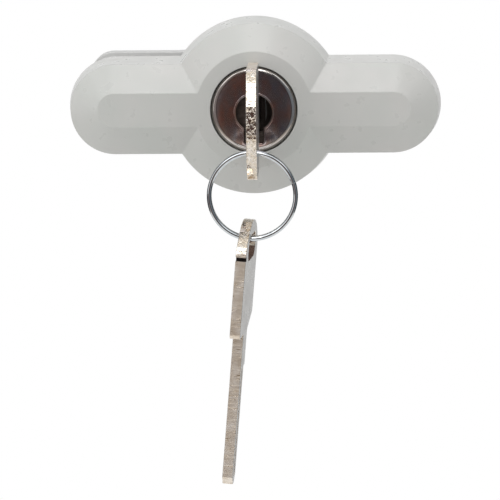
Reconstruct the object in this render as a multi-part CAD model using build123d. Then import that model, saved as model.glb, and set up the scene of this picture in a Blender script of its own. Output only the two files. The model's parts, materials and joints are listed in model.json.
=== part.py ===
from build123d import *
from math import atan2, ceil, cos, pi, radians, sin, sqrt, tan
import os

# Key-locked wing handle for an electrical cabinet door, with two keys on a split ring.
# Millimetres. The origin is on the lock axis, in the plane of the door's front face.
# +X runs right along the wings, +Y into the cabinet, +Z up. Shown unlocked, key in, tongue to the left.

# Clearances
running_fit = 0.05
loose_fit = 0.10
seat_gap = 0.10
thrust_gap = 0.10
cut_over = 1.0

# Wing handle, outside
door_gap = 2.5
skirt_depth = 12.3
skirt_draft = 1.13
bevel_depth = 3.2
hub_flat_r = 13.7
hub_r = 20.1
wing_flat_half = 4.0
wing_half = 10.6
wing_flat_reach = 36.9
wing_reach = 43.4

# Wing handle, inside
handle_wall = 2.2
rib_thick = 1.4
rib_set_back = 3.0
wing_rib_count = 2
wing_rib_pitch = 9.0
boss_wall = 1.9
post_r = 2.3
cap_side_gap = 0.35

# Barrel
rim_recess = 0.2
rim_lip = 1.2
rim_lip_width = 1.05
rim_wall = 0.65
rim_rounding = 0.5
cover_thick = 1.0
cover_recess = 0.2
keyhole_r = 4.5
keyhole_drop = 0.7
notch_width = 5.0
notch_wall = 0.95
flange_thick = 2.3
housing_wall = 1.95
flange_step = 0.8
housing_rear_wall = 0.8
plug_r = 6.5
plug_front_wall = 1.0
ledge_set_back = 1.0
plug_rear_wall = 0.5
broach_depth = 0.9
broach_front_margin = 1.0
plug_pin_r = 0.81

# Key
key_thick = 2.4
bow_above = 11.3
bow_below = 14.3
bow_length = 26.2
bow_end_r = 16.0
bow_corner_rounding = 2.0
bow_shoulder_rounding = 1.2
bow_slope_start = 3.0
key_shoulder_gap = 0.5
key_hole_above = 6.4
key_hole_below = 8.9
key_hole_height = 5.8
key_hole_web = 3.2
neck_length = 8.3
neck_side_gap = 0.5
blade_width = 6.0
blade_length = 27.4
blade_groove_width = 1.6
blade_groove_depth = 0.5
tip_chamfer = 1.8
tip_flat = 2.0

# Wafers and their springs
wafer_count = 5
wafer_thick = 1.2
wafer_pitch = 3.9
wafer_half_width = 3.4
wafer_lift = 0.8
wafer_end_inset = 0.1
window_side_gap = 0.4
ear_length = 1.5
ear_height = 1.2
spring_wire = 0.22
spring_coil_r = 0.5
spring_turns = 5

# Locking bolt and its crank
bolt_travel = 2.4
crank_pin_r = 0.9
bolt_width = 6.8
bolt_thick = 2.6
bolt_tail = 5.1
keeper_depth = 0.25

# Spindle
spindle_wall = 1.55
spindle_flange_margin = 2.2
spindle_flange_thick = 3.0
spindle_end_wall = 1.5
square_size = 12.0
square_length = 6.3
screw_step = 1.75
screw_r = 1.4
screw_head_r = 2.6
screw_head_depth = 1.2
screw_bite = 5.3
screw_recess_length = 2.2
screw_recess_width = 0.55
screw_recess_depth = 0.6
stop_lug_angle = 16.0
stop_lug_width = 2.8
stop_lug_height = 1.6
stop_slack_angle = 1.0
turn_angle = 90.0
o_ring_section = 0.9
o_ring_y = 4.6
cross_pin_r = 1.0
cross_pin_length = 8.3

# Mounting base and its fastening to the door
base_flange_margin = 1.8
base_flange_thick = 3.4
gasket_thick = 1.5
neck_wall = 1.35
thread_pitch = 1.5
thread_depth = 0.75
thread_half_width = 0.52
undercut_depth = 0.6
undercut_length = 2.3
peg_r = 1.0
peg_shoulder_r = 1.5
peg_length = 1.9
peg_gap = 0.6
door_thickness = 2.5
washer_width = 3.5
washer_thick = 0.8
washer_teeth = 18
washer_tooth_depth = 1.1
nut_wall = 3.0
nut_thick = 5.5
nut_chamfer = 0.9

# Closing tongue and its fastening
thrust_washer_thick = 1.1
tongue_thick = 6.5
tongue_half_width = 10.7
tongue_reach = 41.4
tongue_corner_r = 5.5
tongue_hub_r = 18.5
tongue_hub_fillet = 10.0
tongue_hub_step = 0.6
tongue_pocket_depth = 3.5
tongue_pocket_wall = 2.2
tongue_screw_r = 3.0
tongue_screw_bite = 6.8
tongue_head_flats = 10.0
tongue_head_thick = 4.0
tongue_washer_width = 5.9
tongue_washer_thick = 1.6
spring_washer_width = 2.1
spring_washer_thick = 1.5
spring_washer_gap = 0.9

# Split ring and spare key
ring_mean_r = 9.92
ring_wire = 1.1
ring_wire_gap = 0.42
ring_turns = 1.95
ring_end_angle = 18.0
ring_hole_gap = 0.25
spare_swing_gap = 0.54
spare_lean = 4.9
spare_twist = 4.5
spare_side_step = 1.35

# Planes along the lock axis, from the door forwards
handle_back = -door_gap
bevel_edge = handle_back - skirt_depth
face = bevel_edge - bevel_depth
rim_front = face + rim_recess
lip_back = rim_front + rim_lip
cover_front = rim_front + cover_recess
cover_back = cover_front + cover_thick
housing_front = max(cover_back, lip_back)
flange_back = housing_front + flange_thick
recess_floor = flange_back + seat_gap
key_shoulder = face - key_shoulder_gap
key_end = key_shoulder - bow_length
neck_end = key_shoulder + neck_length
key_tip = neck_end + blade_length
plug_floor = neck_end + seat_gap
plug_rear = key_tip + seat_gap + plug_rear_wall
bolt_front = plug_rear + seat_gap
bolt_rear = bolt_front + bolt_thick
housing_rear = bolt_rear + seat_gap + housing_rear_wall

# Planes of the base, the spindle and the tongue
base_back = -gasket_thick
base_front = base_back - base_flange_thick
spindle_flange_back = base_front - thrust_gap
spindle_flange_front = spindle_flange_back - spindle_flange_thick
spindle_bore_end = housing_rear + seat_gap
spindle_shoulder = spindle_bore_end + spindle_end_wall
thrust_washer_back = spindle_shoulder - thrust_gap
neck_rear = thrust_washer_back - thrust_washer_thick
tongue_front = spindle_shoulder + tongue_hub_step
tongue_back = tongue_front + tongue_thick
square_end = spindle_shoulder + square_length
tongue_washer_back = tongue_back + tongue_washer_thick
spring_washer_back = tongue_washer_back + spring_washer_thick
washer_front = door_thickness
nut_front = washer_front + washer_thick

# Radii from the plug outwards, each from what it holds
plug_front_bore = plug_r - plug_front_wall
neck_below = plug_front_bore - neck_side_gap
plug_bore_r = plug_r + running_fit
housing_r = plug_bore_r + housing_wall
housing_flange_r = housing_r + flange_step
rim_inner_r = housing_flange_r + running_fit
rim_r = rim_inner_r + rim_wall
cover_r = rim_r - rim_lip_width - loose_fit
notch_reach = cover_r - notch_wall
cap_recess_r = rim_r + cap_side_gap
boss_r = cap_recess_r + boss_wall
spindle_bore_r = housing_r + running_fit
spindle_r = spindle_bore_r + spindle_wall
neck_bore_r = spindle_r + running_fit
screw_circle_r = boss_r + screw_step
spindle_flange_r = screw_circle_r + spindle_flange_margin
base_flange_r = spindle_flange_r + base_flange_margin

# Crank and bolt: the pin swings from 45 degrees below to 45 degrees above the bolt's middle
crank_throw = bolt_travel / 2 / sin(radians(turn_angle / 2))
crank_reach = crank_throw * cos(radians(turn_angle / 2))
bolt_tip = spindle_r - loose_fit
keeper_r = bolt_tip + bolt_travel + keeper_depth

# Neck and what sits on it
neck_r = keeper_r + neck_wall
undercut_r = neck_r - undercut_depth
gasket_bore_r = undercut_r + 2 * loose_fit
peg_circle_r = neck_r + peg_shoulder_r + peg_gap
washer_bore_r = neck_r + loose_fit
washer_outer_r = washer_bore_r + washer_width
nut_across_flats = 2 * (neck_r + nut_wall)
tongue_washer_bore_r = tongue_screw_r + loose_fit
tongue_washer_r = tongue_washer_bore_r + tongue_washer_width
spring_washer_r = tongue_washer_bore_r + spring_washer_width


def front_plane(y):
    """A plane across the lock axis, with +X right and +Z up in its sketch."""
    return Plane(origin=(0, y, 0), x_dir=(1, 0, 0), z_dir=(0, -1, 0))


def prism(sketch, y0, y1):
    return extrude(front_plane(y1) * sketch, y1 - y0)


def disc(r, y0, y1, x=0.0, z=0.0):
    return prism(Pos(x, z) * Circle(r), y0, y1)


def tube(outer, inner, y0, y1):
    return disc(outer, y0, y1) - disc(inner, y0, y1)


def block(x0, x1, y0, y1, z0, z1):
    size = (x1 - x0, y1 - y0, z1 - z0)
    return Pos((x0 + x1) / 2, (y0 + y1) / 2, (z0 + z1) / 2) * Box(*size)


def upright_rod(r, z0, z1, x, y):
    return Pos(x, y, (z0 + z1) / 2) * Cylinder(r, z1 - z0)


def cone(r0, r1, y0, y1, x=0.0, z=0.0):
    ends = [front_plane(y0) * Pos(x, z) * Circle(r0), front_plane(y1) * Pos(x, z) * Circle(r1)]
    return loft(ends, ruled=True)


def arc_slot(mean_r, width, start, end):
    """A band round the axis, between two angles that run from +X towards +Z."""
    inner = mean_r - width / 2
    outer = mean_r + width / 2
    middle = radians((start + end) / 2)
    a, b = radians(start), radians(end)
    line = [
        ThreePointArc(*[(outer * cos(t), outer * sin(t)) for t in (a, middle, b)]),
        Line((outer * cos(b), outer * sin(b)), (inner * cos(b), inner * sin(b))),
        ThreePointArc(*[(inner * cos(t), inner * sin(t)) for t in (b, middle, a)]),
        Line((inner * cos(a), inner * sin(a)), (outer * cos(a), outer * sin(a))),
    ]
    return make_face(Curve() + line)


def helix_points(centre, axis, radius, pitch, turns, start, per_turn):
    """Points and unit tangents evenly along a helix about the Y or the Z axis."""
    spans = ceil(turns * per_turn)
    speed = sqrt(radius**2 + (pitch / (2 * pi)) ** 2)
    nodes = []
    for i in range(spans + 1):
        turned = 2 * pi * turns * i / spans
        angle = radians(start) + turned
        along = pitch * (turned / (2 * pi) - turns / 2)
        across = (radius * cos(angle), radius * sin(angle))
        slope = (-radius * sin(angle) / speed, radius * cos(angle) / speed)
        rise = pitch / (2 * pi) / speed
        if axis == "Y":
            nodes.append((Vector(across[0], along, across[1]), Vector(slope[0], rise, slope[1])))
        else:
            nodes.append((Vector(across[0], across[1], along), Vector(slope[0], slope[1], rise)))
    return [(point + Vector(*centre), tangent) for point, tangent in nodes]


def biarc_path(nodes):
    """Two tangent arcs for each span of a helix."""
    arcs = []
    for (p0, t0), (p1, t1) in zip(nodes, nodes[1:]):
        gap = p1 - p0
        both = t0 + t1
        a = both.dot(both) - 4
        b = -2 * gap.dot(both)
        reach = (-b - sqrt(b * b - 4 * a * gap.dot(gap))) / (2 * a)
        middle = (p0 + t0 * reach + p1 - t1 * reach) / 2
        arcs.append(Edge.make_tangent_arc(p0, t0, middle))
        arcs.append(Edge.make_tangent_arc(p1, t1 * -1, middle))
    return Wire(arcs)


def least_turn_gap(nodes_per_turn, nodes, wire):
    """The least gap between points of the tube that lie over half a turn apart."""
    gaps = []
    for i, (p, _) in enumerate(nodes):
        gaps += [(p - q).length - wire for q, _ in nodes[i + nodes_per_turn // 2 + 1:]]
    return min(gaps)


def coil(name, centre, axis, radius, pitch, turns, start, wire):
    nodes = helix_points(centre, axis, radius, pitch, turns, start, per_turn=4)
    fine = helix_points(centre, axis, radius, pitch, turns, start, per_turn=48)
    print(name, "least gap to itself", round(least_turn_gap(48, fine, wire), 3))
    path = biarc_path(nodes)
    start_plane = Plane(origin=nodes[0][0], z_dir=nodes[0][1])
    return sweep(start_plane * Circle(wire / 2), path=path)


def wing_form(planes, hub_radii, halves, reaches):
    """A round hub and a round-ended bar, each lofted through the three planes and joined."""
    hub = loft([front_plane(y) * Circle(r) for y, r in zip(planes, hub_radii)], ruled=True)
    bars = [front_plane(y) * SlotOverall(2 * reach, 2 * half)
            for y, half, reach in zip(planes, halves, reaches)]
    return hub + loft(bars, ruled=True)


def screw_places():
    angles = [45, 135, 225, 315]
    return [(screw_circle_r * cos(radians(a)), screw_circle_r * sin(radians(a))) for a in angles]


def wing_handle():
    slope = atan2(bevel_depth, hub_r - hub_flat_r)
    planes = (face, bevel_edge, handle_back)
    outer = wing_form(
        planes,
        (hub_flat_r, hub_r, hub_r + skirt_draft),
        (wing_flat_half, wing_half, wing_half + skirt_draft),
        (wing_flat_reach, wing_reach, wing_reach + skirt_draft),
    )
    inset = handle_wall * (1 / cos(slope) - 1) / tan(slope)
    inner_planes = (
        face + handle_wall,
        bevel_edge + handle_wall * (1 - sin(slope)) / cos(slope),
        handle_back,
    )
    inner_edge = -handle_wall
    inner_back = skirt_draft - handle_wall
    inner = wing_form(
        inner_planes,
        (hub_flat_r - inset, hub_r + inner_edge, hub_r + inner_back),
        (wing_flat_half - inset, wing_half + inner_edge, wing_half + inner_back),
        (wing_flat_reach - inset, wing_reach + inner_edge, wing_reach + inner_back),
    )
    shell = outer - inner
    inside = disc(boss_r, face + handle_wall / 2, spindle_flange_front)
    for x, z in screw_places():
        inside += disc(post_r, face + handle_wall / 2, spindle_flange_front, x, z)
    rib_back = spindle_flange_front - rib_set_back
    for side in (-1, 1):
        ends = sorted((side * boss_r, side * wing_reach))
        inside += block(*ends, face + handle_wall / 2, rib_back, -rib_thick / 2, rib_thick / 2)
        for i in range(wing_rib_count):
            x = side * (hub_r + wing_rib_pitch * (i + 0.5))
            low, high = x - rib_thick / 2, x + rib_thick / 2
            inside += block(low, high, face + handle_wall / 2, rib_back, -wing_half, wing_half)
    shell += inside & outer
    shell -= disc(cap_recess_r, face, recess_floor)
    shell -= disc(housing_r + cap_side_gap, recess_floor, spindle_flange_front)
    for x, z in screw_places():
        shell -= disc(screw_r + running_fit, spindle_flange_front - screw_bite, spindle_flange_front, x, z)
    return shell


def spindle():
    body = disc(spindle_flange_r, spindle_flange_front, spindle_flange_back)
    body += disc(spindle_r, spindle_flange_back, spindle_shoulder)
    body += prism(Rectangle(square_size, square_size), spindle_shoulder, square_end)
    lug = arc_slot(screw_circle_r, stop_lug_width, 180 - stop_lug_angle / 2, 180 + stop_lug_angle / 2)
    body += prism(lug, spindle_flange_back, spindle_flange_back + stop_lug_height)
    body -= disc(spindle_bore_r, spindle_flange_front, spindle_bore_end)
    body -= disc(tongue_screw_r + running_fit, tongue_back - tongue_screw_bite, square_end)
    half = bolt_width / 2 + loose_fit
    body -= block(-half, half, bolt_front - loose_fit, bolt_rear + loose_fit, 0, spindle_r + cut_over)
    groove_floor = neck_bore_r - o_ring_section - running_fit
    half_groove = o_ring_section / 2 + loose_fit
    body -= tube(spindle_r + cut_over, groove_floor, o_ring_y - half_groove, o_ring_y + half_groove)
    body -= upright_rod(cross_pin_r + running_fit, -spindle_flange_r - cut_over, 0, 0, cross_pin_y())
    for x, z in screw_places():
        body -= disc(screw_r + loose_fit, spindle_flange_front, spindle_flange_back, x, z)
        body -= screw_head(running_fit, x, z)
    return body


def cross_pin_y():
    return (spindle_flange_front + spindle_flange_back) / 2


def screw_head(clearance, x, z):
    top = spindle_flange_back
    return cone(screw_r + clearance, screw_head_r + clearance, top - screw_head_depth, top, x, z)


def spindle_screws():
    screws = []
    for x, z in screw_places():
        tip = spindle_flange_front - screw_bite + seat_gap
        screw = disc(screw_r, tip, spindle_flange_back, x, z) + screw_head(0, x, z)
        recess = Rectangle(screw_recess_length, screw_recess_width)
        recess += Rectangle(screw_recess_width, screw_recess_length)
        screw -= prism(Pos(x, z) * recess, spindle_flange_back - screw_recess_depth, spindle_flange_back)
        screws.append(screw)
    return Compound(children=screws)


def o_ring():
    section_r = o_ring_section / 2
    ring = Torus(neck_bore_r - running_fit / 2 - section_r, section_r)
    return Pos(0, o_ring_y, 0) * Rot(90, 0, 0) * ring


def barrel_rim():
    rim = tube(rim_r, rim_r - rim_lip_width, rim_front, flange_back)
    rim -= disc(rim_inner_r, lip_back, flange_back)
    front_edges = rim.edges().filter_by(GeomType.CIRCLE).group_by(Axis.Y)[0]
    outer_edge = front_edges.sort_by(lambda edge: edge.radius)[-1]
    rounding = min(rim_rounding, rim_lip_width / 2)
    return fillet([outer_edge], rounding)


def keyhole_outline():
    notch = Pos(0, -notch_reach / 2) * Rectangle(notch_width, notch_reach)
    return Pos(0, -keyhole_drop) * Circle(keyhole_r) + notch


def plug_cover():
    return prism(Circle(cover_r) - keyhole_outline(), cover_front, cover_back)


def barrel_housing():
    body = disc(housing_flange_r, housing_front, flange_back)
    body += disc(housing_r, flange_back, housing_rear)
    body -= disc(plug_bore_r, housing_front, bolt_front)
    half = bolt_width / 2 + loose_fit
    low = -bolt_tail - loose_fit
    body -= block(-half, half, bolt_front, bolt_rear + seat_gap, low, housing_r + cut_over)
    broach_r = plug_r + broach_depth
    arm = 2 * (wafer_half_width + 2 * loose_fit)
    cross = Rectangle(arm, 2 * broach_r + cut_over) + Rectangle(2 * broach_r + cut_over, arm)
    last = wafer_y(wafer_count - 1) + wafer_thick
    body -= prism(cross & Circle(broach_r), wafer_y(0) - broach_front_margin, last)
    pin_top = -plug_r - broach_depth - seat_gap
    body -= upright_rod(cross_pin_r + running_fit, -housing_r - cut_over, pin_top, 0, cross_pin_y())
    body -= plug_pin_rod(running_fit)
    return body


def wafer_y(i):
    """The wafers stand in a row, centred on the blade's hidden length."""
    middle = (plug_floor + key_tip) / 2 - plug_pin_r * 2
    return middle + (i - (wafer_count - 1) / 2) * wafer_pitch


def plug_pin_y():
    return plug_rear - 3 * plug_pin_r


def plug_pin_rod(clearance):
    x = plug_r
    r = plug_pin_r + clearance
    half = sqrt(housing_r**2 - (x + plug_pin_r) ** 2) if clearance == 0 else housing_r
    return upright_rod(r, -half, half, x, plug_pin_y())


def barrel_plug():
    body = disc(plug_r, cover_back, plug_rear)
    body -= disc(plug_front_bore, cover_back, plug_floor)
    side = key_thick / 2 + 2 * loose_fit
    ledge = Circle(plug_front_bore) & Pos(-side - plug_front_bore, 0) * Rectangle(
        2 * plug_front_bore, 2 * plug_front_bore)
    body += prism(ledge, cover_back + ledge_set_back, plug_floor)
    half = blade_width / 2 + 2 * loose_fit
    body -= block(-side, side, plug_floor, key_tip + seat_gap, -half, half)
    for i in range(wafer_count):
        body -= wafer_slot(i)
    groove_r = plug_r - plug_pin_r - loose_fit
    groove_half = plug_pin_r + loose_fit
    body -= tube(plug_r + cut_over, groove_r, plug_pin_y() - groove_half, plug_pin_y() + groove_half)
    pin = disc(crank_pin_r, plug_rear, bolt_rear - loose_fit, -crank_reach, -bolt_travel / 2)
    return body + pin


def lift_side(i):
    """Wafers lift up and down by turns, as on a key that is cut on both edges."""
    return 1 if i % 2 == 0 else -1


def wafer_slot(i):
    y = wafer_y(i)
    reach = plug_r + cut_over
    y0 = y - wafer_thick / 2 - running_fit
    y1 = y + wafer_thick / 2 + running_fit
    half = wafer_half_width + running_fit
    slot = block(-half, half, y0, y1, -reach, reach)
    ear_top = ear_height / 2 + wafer_lift + loose_fit
    ear_low = -ear_height / 2 - loose_fit
    lows = sorted((lift_side(i) * ear_low, lift_side(i) * ear_top))
    slot += block(0, wafer_half_width + ear_length + loose_fit, y0, y1, *lows)
    return slot + spring_pocket(i)


def spring_x():
    return wafer_half_width + ear_length / 2


def spring_foot():
    """The spring stands as low as its pocket's wall allows, seen in the plug's round section."""
    pocket_r = spring_coil_r + spring_wire / 2 + loose_fit
    return sqrt(plug_r**2 - (spring_x() + pocket_r) ** 2) - loose_fit


def spring_pocket(i):
    ends = sorted((-lift_side(i) * spring_foot(), 0))
    pocket_r = spring_coil_r + spring_wire / 2 + loose_fit
    return upright_rod(pocket_r, *ends, spring_x(), wafer_y(i))


def wafer(i):
    r = plug_r - wafer_end_inset
    outline = Circle(r) & Rectangle(2 * wafer_half_width, 2 * r)
    outline += Pos(wafer_half_width, 0) * Rectangle(2 * ear_length, ear_height)
    blade_half = blade_width / 2
    near = blade_half + wafer_lift + 2 * loose_fit
    far = blade_half + 2 * loose_fit
    width = key_thick + 2 * window_side_gap
    low, high = sorted((-lift_side(i) * near, lift_side(i) * far))
    outline -= Pos(0, (low + high) / 2) * Rectangle(width, high - low)
    return prism(outline, wafer_y(i) - wafer_thick / 2, wafer_y(i) + wafer_thick / 2)


def wafer_spring(i):
    foot = spring_foot() - spring_wire / 2 - running_fit
    head = ear_height / 2 + spring_wire / 2 + running_fit
    centre = (spring_x(), wafer_y(i), -lift_side(i) * (foot + head) / 2)
    pitch = (foot - head) / spring_turns
    return coil(f"wafer_spring_{i + 1}", centre, "Z", spring_coil_r, pitch, spring_turns, 0, spring_wire)


def locking_bolt():
    half = bolt_width / 2
    bolt = block(-half, half, bolt_front, bolt_rear, -bolt_tail, spindle_r)
    bolt &= disc(bolt_tip, bolt_front, bolt_rear)
    slot_half = crank_pin_r + loose_fit
    left = -crank_throw - slot_half
    right = -crank_reach + slot_half
    pin_z = -bolt_travel / 2
    bolt -= block(left, right, bolt_front, bolt_rear, pin_z - slot_half, pin_z + slot_half)
    return bolt


def cross_pin():
    low = -spindle_flange_r + seat_gap
    return upright_rod(cross_pin_r, low, low + cross_pin_length, 0, cross_pin_y())


def key_blank():
    """A flat key on the YZ plane: its bow's end at y 0, its blade towards +Y, its wide neck below."""
    blade_half = blade_width / 2
    neck_y = bow_length + neck_length
    tip_y = neck_y + blade_length
    bow_middle = (bow_above - bow_below) / 2
    side_y = bow_end_r - sqrt(bow_end_r**2 - ((bow_above + bow_below) / 2) ** 2)
    corners = {
        "top_end": (side_y, bow_above),
        "shoulder": (bow_length, bow_above),
        "neck_top": (bow_length, blade_half),
        "tip_top": (tip_y - tip_chamfer, blade_half),
        "tip_upper": (tip_y, tip_flat / 2),
        "tip_lower": (tip_y, -tip_flat / 2),
        "tip_bottom": (tip_y - tip_chamfer, -blade_half),
        "step_in": (neck_y, -blade_half),
        "step_out": (neck_y, -neck_below),
        "neck_bottom": (bow_length, -neck_below),
        "slope": (bow_length - bow_slope_start, -bow_below),
        "bottom_end": (side_y, -bow_below),
    }
    end_arc = ThreePointArc(corners["bottom_end"], (0, bow_middle), corners["top_end"])
    face_sketch = make_face(Polyline(*corners.values()) + end_arc)
    ends = [corners["top_end"], corners["bottom_end"]]
    face_sketch = fillet(vertices_at(face_sketch, ends), bow_corner_rounding)
    sides = [corners["shoulder"], corners["slope"]]
    face_sketch = fillet(vertices_at(face_sketch, sides), bow_shoulder_rounding)
    hole_at = (key_hole_web + key_hole_height / 2, (key_hole_above - key_hole_below) / 2)
    hole = SlotOverall(key_hole_above + key_hole_below, key_hole_height)
    face_sketch -= Pos(*hole_at) * Rot(0, 0, 90) * hole
    key = extrude(Plane.YZ * face_sketch, key_thick / 2, both=True)
    groove_half = blade_groove_width / 2
    groove_end = tip_y - tip_chamfer
    for side in (-1, 1):
        depths = sorted((side * key_thick, side * (key_thick / 2 - blade_groove_depth)))
        key -= block(*depths, neck_y, groove_end, -groove_half, groove_half)
    return key


def vertices_at(sketch, points):
    found = []
    for x, y in points:
        found.append(min(sketch.vertices(), key=lambda v: abs(v.X - x) + abs(v.Y - y)))
    return found


def inserted_key():
    return Pos(0, key_end, 0) * key_blank()


# The split ring hangs in the lower end of the inserted key's hole
ring_pitch = ring_wire + ring_wire_gap
hole_end_r = key_hole_height / 2
hole_y = key_end + key_hole_web + hole_end_r
ring_pivot_z = -(key_hole_below - hole_end_r)
ring_drop = sqrt((hole_end_r - ring_wire / 2 - ring_hole_gap) ** 2 - (ring_pitch / 2) ** 2)
ring_z = ring_pivot_z - ring_drop - ring_mean_r


def turn_offset(angle):
    """Where along Y the two turns lie, on average, at an angle from +X towards +Z."""
    first = ((angle - ring_end_angle) % 360) / 360 - ring_turns / 2
    return ring_pitch * (first + 0.5)


ring_y = hole_y - turn_offset(90)
spare_y = ring_y + turn_offset(270)
spare_pivot_z = ring_z - ring_mean_r


def key_ring():
    centre = (0, ring_y, ring_z)
    return coil("key_ring", centre, "Y", ring_mean_r, ring_pitch, ring_turns, ring_end_angle, ring_wire)


def spare_key():
    hang = spare_swing_gap + ring_wire / 2 + key_hole_web
    key = Rot(-90, 0, 0) * Rot(0, 180, 0) * key_blank()
    hung = Rot(0, spare_lean, 0) * Rot(0, 0, -spare_twist) * Pos(0, 0, hang) * key
    return Pos(-spare_side_step, spare_y, spare_pivot_z) * hung


def peg_places():
    return [(-peg_circle_r, 0), (peg_circle_r, 0)]


def thread_rod(outer, y0, y1):
    """A rod with ring grooves that stand for its thread."""
    count = int((y1 - y0) / thread_pitch)
    rod = disc(outer, y0, y1)
    grooves = []
    for i in range(count):
        middle = y0 + (i + 0.5) * (y1 - y0) / count
        section = Polyline((outer - thread_depth, middle), (outer, middle - thread_half_width),
                           (outer, middle + thread_half_width), close=True)
        grooves.append(revolve(make_face(section), Axis.Y))
    return rod - grooves


def mounting_base():
    body = disc(base_flange_r, base_front, base_back)
    body += disc(undercut_r, base_back, undercut_length)
    body += thread_rod(neck_r, undercut_length, neck_rear)
    for x, z in peg_places():
        body += disc(peg_shoulder_r, base_back, 0, x, z)
        body += disc(peg_r, 0, peg_length, x, z)
    body -= disc(neck_bore_r, base_front, neck_rear)
    groove_half_angle = stop_lug_angle / 2 + stop_slack_angle
    groove = arc_slot(screw_circle_r, stop_lug_width + 4 * loose_fit,
                      180 - turn_angle - groove_half_angle, 180 + groove_half_angle)
    body -= prism(groove, base_front, base_front + stop_lug_height + loose_fit)
    half = bolt_width / 2 + 3 * loose_fit
    for angle in (0, turn_angle):
        keeper = block(-half, half, bolt_front - 2 * loose_fit, neck_rear, 0, keeper_r)
        keeper &= disc(keeper_r, bolt_front - 2 * loose_fit, neck_rear)
        body -= Rot(0, angle, 0) * keeper
    return body


def door_gasket():
    gasket = tube(base_flange_r, gasket_bore_r, base_back, 0)
    for x, z in peg_places():
        gasket -= disc(peg_shoulder_r + loose_fit, base_back, 0, x, z)
    return gasket


def toothed_washer():
    washer = tube(washer_outer_r, washer_bore_r, washer_front, nut_front)
    gap_width = pi * washer_outer_r / washer_teeth
    for i in range(washer_teeth):
        gap = Pos(washer_outer_r, 0) * Rectangle(2 * washer_tooth_depth, gap_width)
        washer -= prism(Rot(0, 0, 360 * i / washer_teeth) * gap, washer_front, nut_front)
    return washer


def mounting_nut():
    nut = prism(RegularPolygon(nut_across_flats / 2, 6, major_radius=False), nut_front, nut_front + nut_thick)
    corner_r = nut_across_flats / 2 / cos(radians(30))
    bound = disc(corner_r, nut_front, nut_front + nut_thick - nut_chamfer)
    bound += cone(corner_r, corner_r - 2 * nut_chamfer, nut_front + nut_thick - nut_chamfer,
                  nut_front + nut_thick)
    return (nut & bound) - disc(neck_r + running_fit, nut_front, nut_front + nut_thick)


def thrust_washer():
    return tube(neck_r - loose_fit, spindle_r + loose_fit, neck_rear, thrust_washer_back)


def closing_tongue():
    arm_length = tongue_reach
    arm = Pos(-arm_length / 2, 0) * Rectangle(arm_length, 2 * tongue_half_width)
    arm = fillet(arm.vertices().group_by(Axis.X)[0], tongue_corner_r)
    outline = arm + Circle(tongue_hub_r)
    meets = -sqrt(tongue_hub_r**2 - tongue_half_width**2)
    inner_corners = vertices_at(outline, [(meets, tongue_half_width), (meets, -tongue_half_width)])
    outline = fillet(inner_corners, tongue_hub_fillet)
    tongue = prism(outline, tongue_front, tongue_back)
    tongue += disc(tongue_hub_r, spindle_shoulder, tongue_front)
    hole = Rectangle(square_size + 2 * loose_fit, square_size + 2 * loose_fit)
    tongue -= prism(hole, spindle_shoulder, tongue_back)
    pocket_half = (2 * tongue_half_width - 3 * tongue_pocket_wall) / 4
    pocket_start = -tongue_hub_r - tongue_pocket_wall
    pocket_end = -tongue_reach + tongue_corner_r
    for side in (-1, 1):
        z = side * (pocket_half + tongue_pocket_wall / 2)
        low, high = z - pocket_half, z + pocket_half
        tongue -= block(pocket_end, pocket_start, tongue_back - tongue_pocket_depth, tongue_back, low, high)
    return tongue


def tongue_washer():
    return tube(tongue_washer_r, tongue_washer_bore_r, tongue_back, tongue_washer_back)


def tongue_spring_washer():
    washer = tube(spring_washer_r, tongue_washer_bore_r, tongue_washer_back, spring_washer_back)
    half = spring_washer_gap / 2
    return washer - block(0, spring_washer_r + cut_over, tongue_washer_back, spring_washer_back, -half, half)


def tongue_screw():
    head = prism(RegularPolygon(tongue_head_flats / 2, 6, major_radius=False), spring_washer_back,
                 spring_washer_back + tongue_head_thick)
    tip = tongue_back - tongue_screw_bite + seat_gap
    return head + disc(tongue_screw_r, tip, spring_washer_back)


def parts():
    nodes = {
        "wing_handle": wing_handle(),
        "spindle": spindle(),
        "spindle_screws": spindle_screws(),
        "spindle_o_ring": o_ring(),
        "barrel_rim": barrel_rim(),
        "barrel_housing": barrel_housing(),
        "barrel_cross_pin": cross_pin(),
        "plug_retaining_pin": plug_pin_rod(0),
        "plug_cover": plug_cover(),
        "barrel_plug": barrel_plug(),
        "locking_bolt": locking_bolt(),
        "mounting_base": mounting_base(),
        "door_gasket": door_gasket(),
        "toothed_washer": toothed_washer(),
        "mounting_nut": mounting_nut(),
        "thrust_washer": thrust_washer(),
        "closing_tongue": closing_tongue(),
        "tongue_washer": tongue_washer(),
        "tongue_spring_washer": tongue_spring_washer(),
        "tongue_screw": tongue_screw(),
        "inserted_key": inserted_key(),
        "key_ring": key_ring(),
        "spare_key": spare_key(),
    }
    for i in range(wafer_count):
        nodes[f"wafer_{i + 1}"] = wafer(i)
        nodes[f"wafer_spring_{i + 1}"] = wafer_spring(i)
    return nodes


os.makedirs("parts", exist_ok=True)
for name, solid in parts().items():
    export_step(solid, f"parts/{name}.step")

print("handle turns about the axis through", (0, 0, 0))
print("bolt travel", bolt_travel, "per", turn_angle, "degrees")
print("key pull to clear", round(neck_length + blade_length, 2))
print("ring pivot", (0, round(hole_y, 3), round(ring_pivot_z, 3)))
print("spare key pivot", (0, round(spare_y, 3), round(spare_pivot_z, 3)))
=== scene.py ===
import json
import random
from math import asin, atan2, ceil, cos, hypot, pi, radians, sin, sqrt, tan

import bmesh
import bpy
from mathutils import Matrix, Vector


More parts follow.
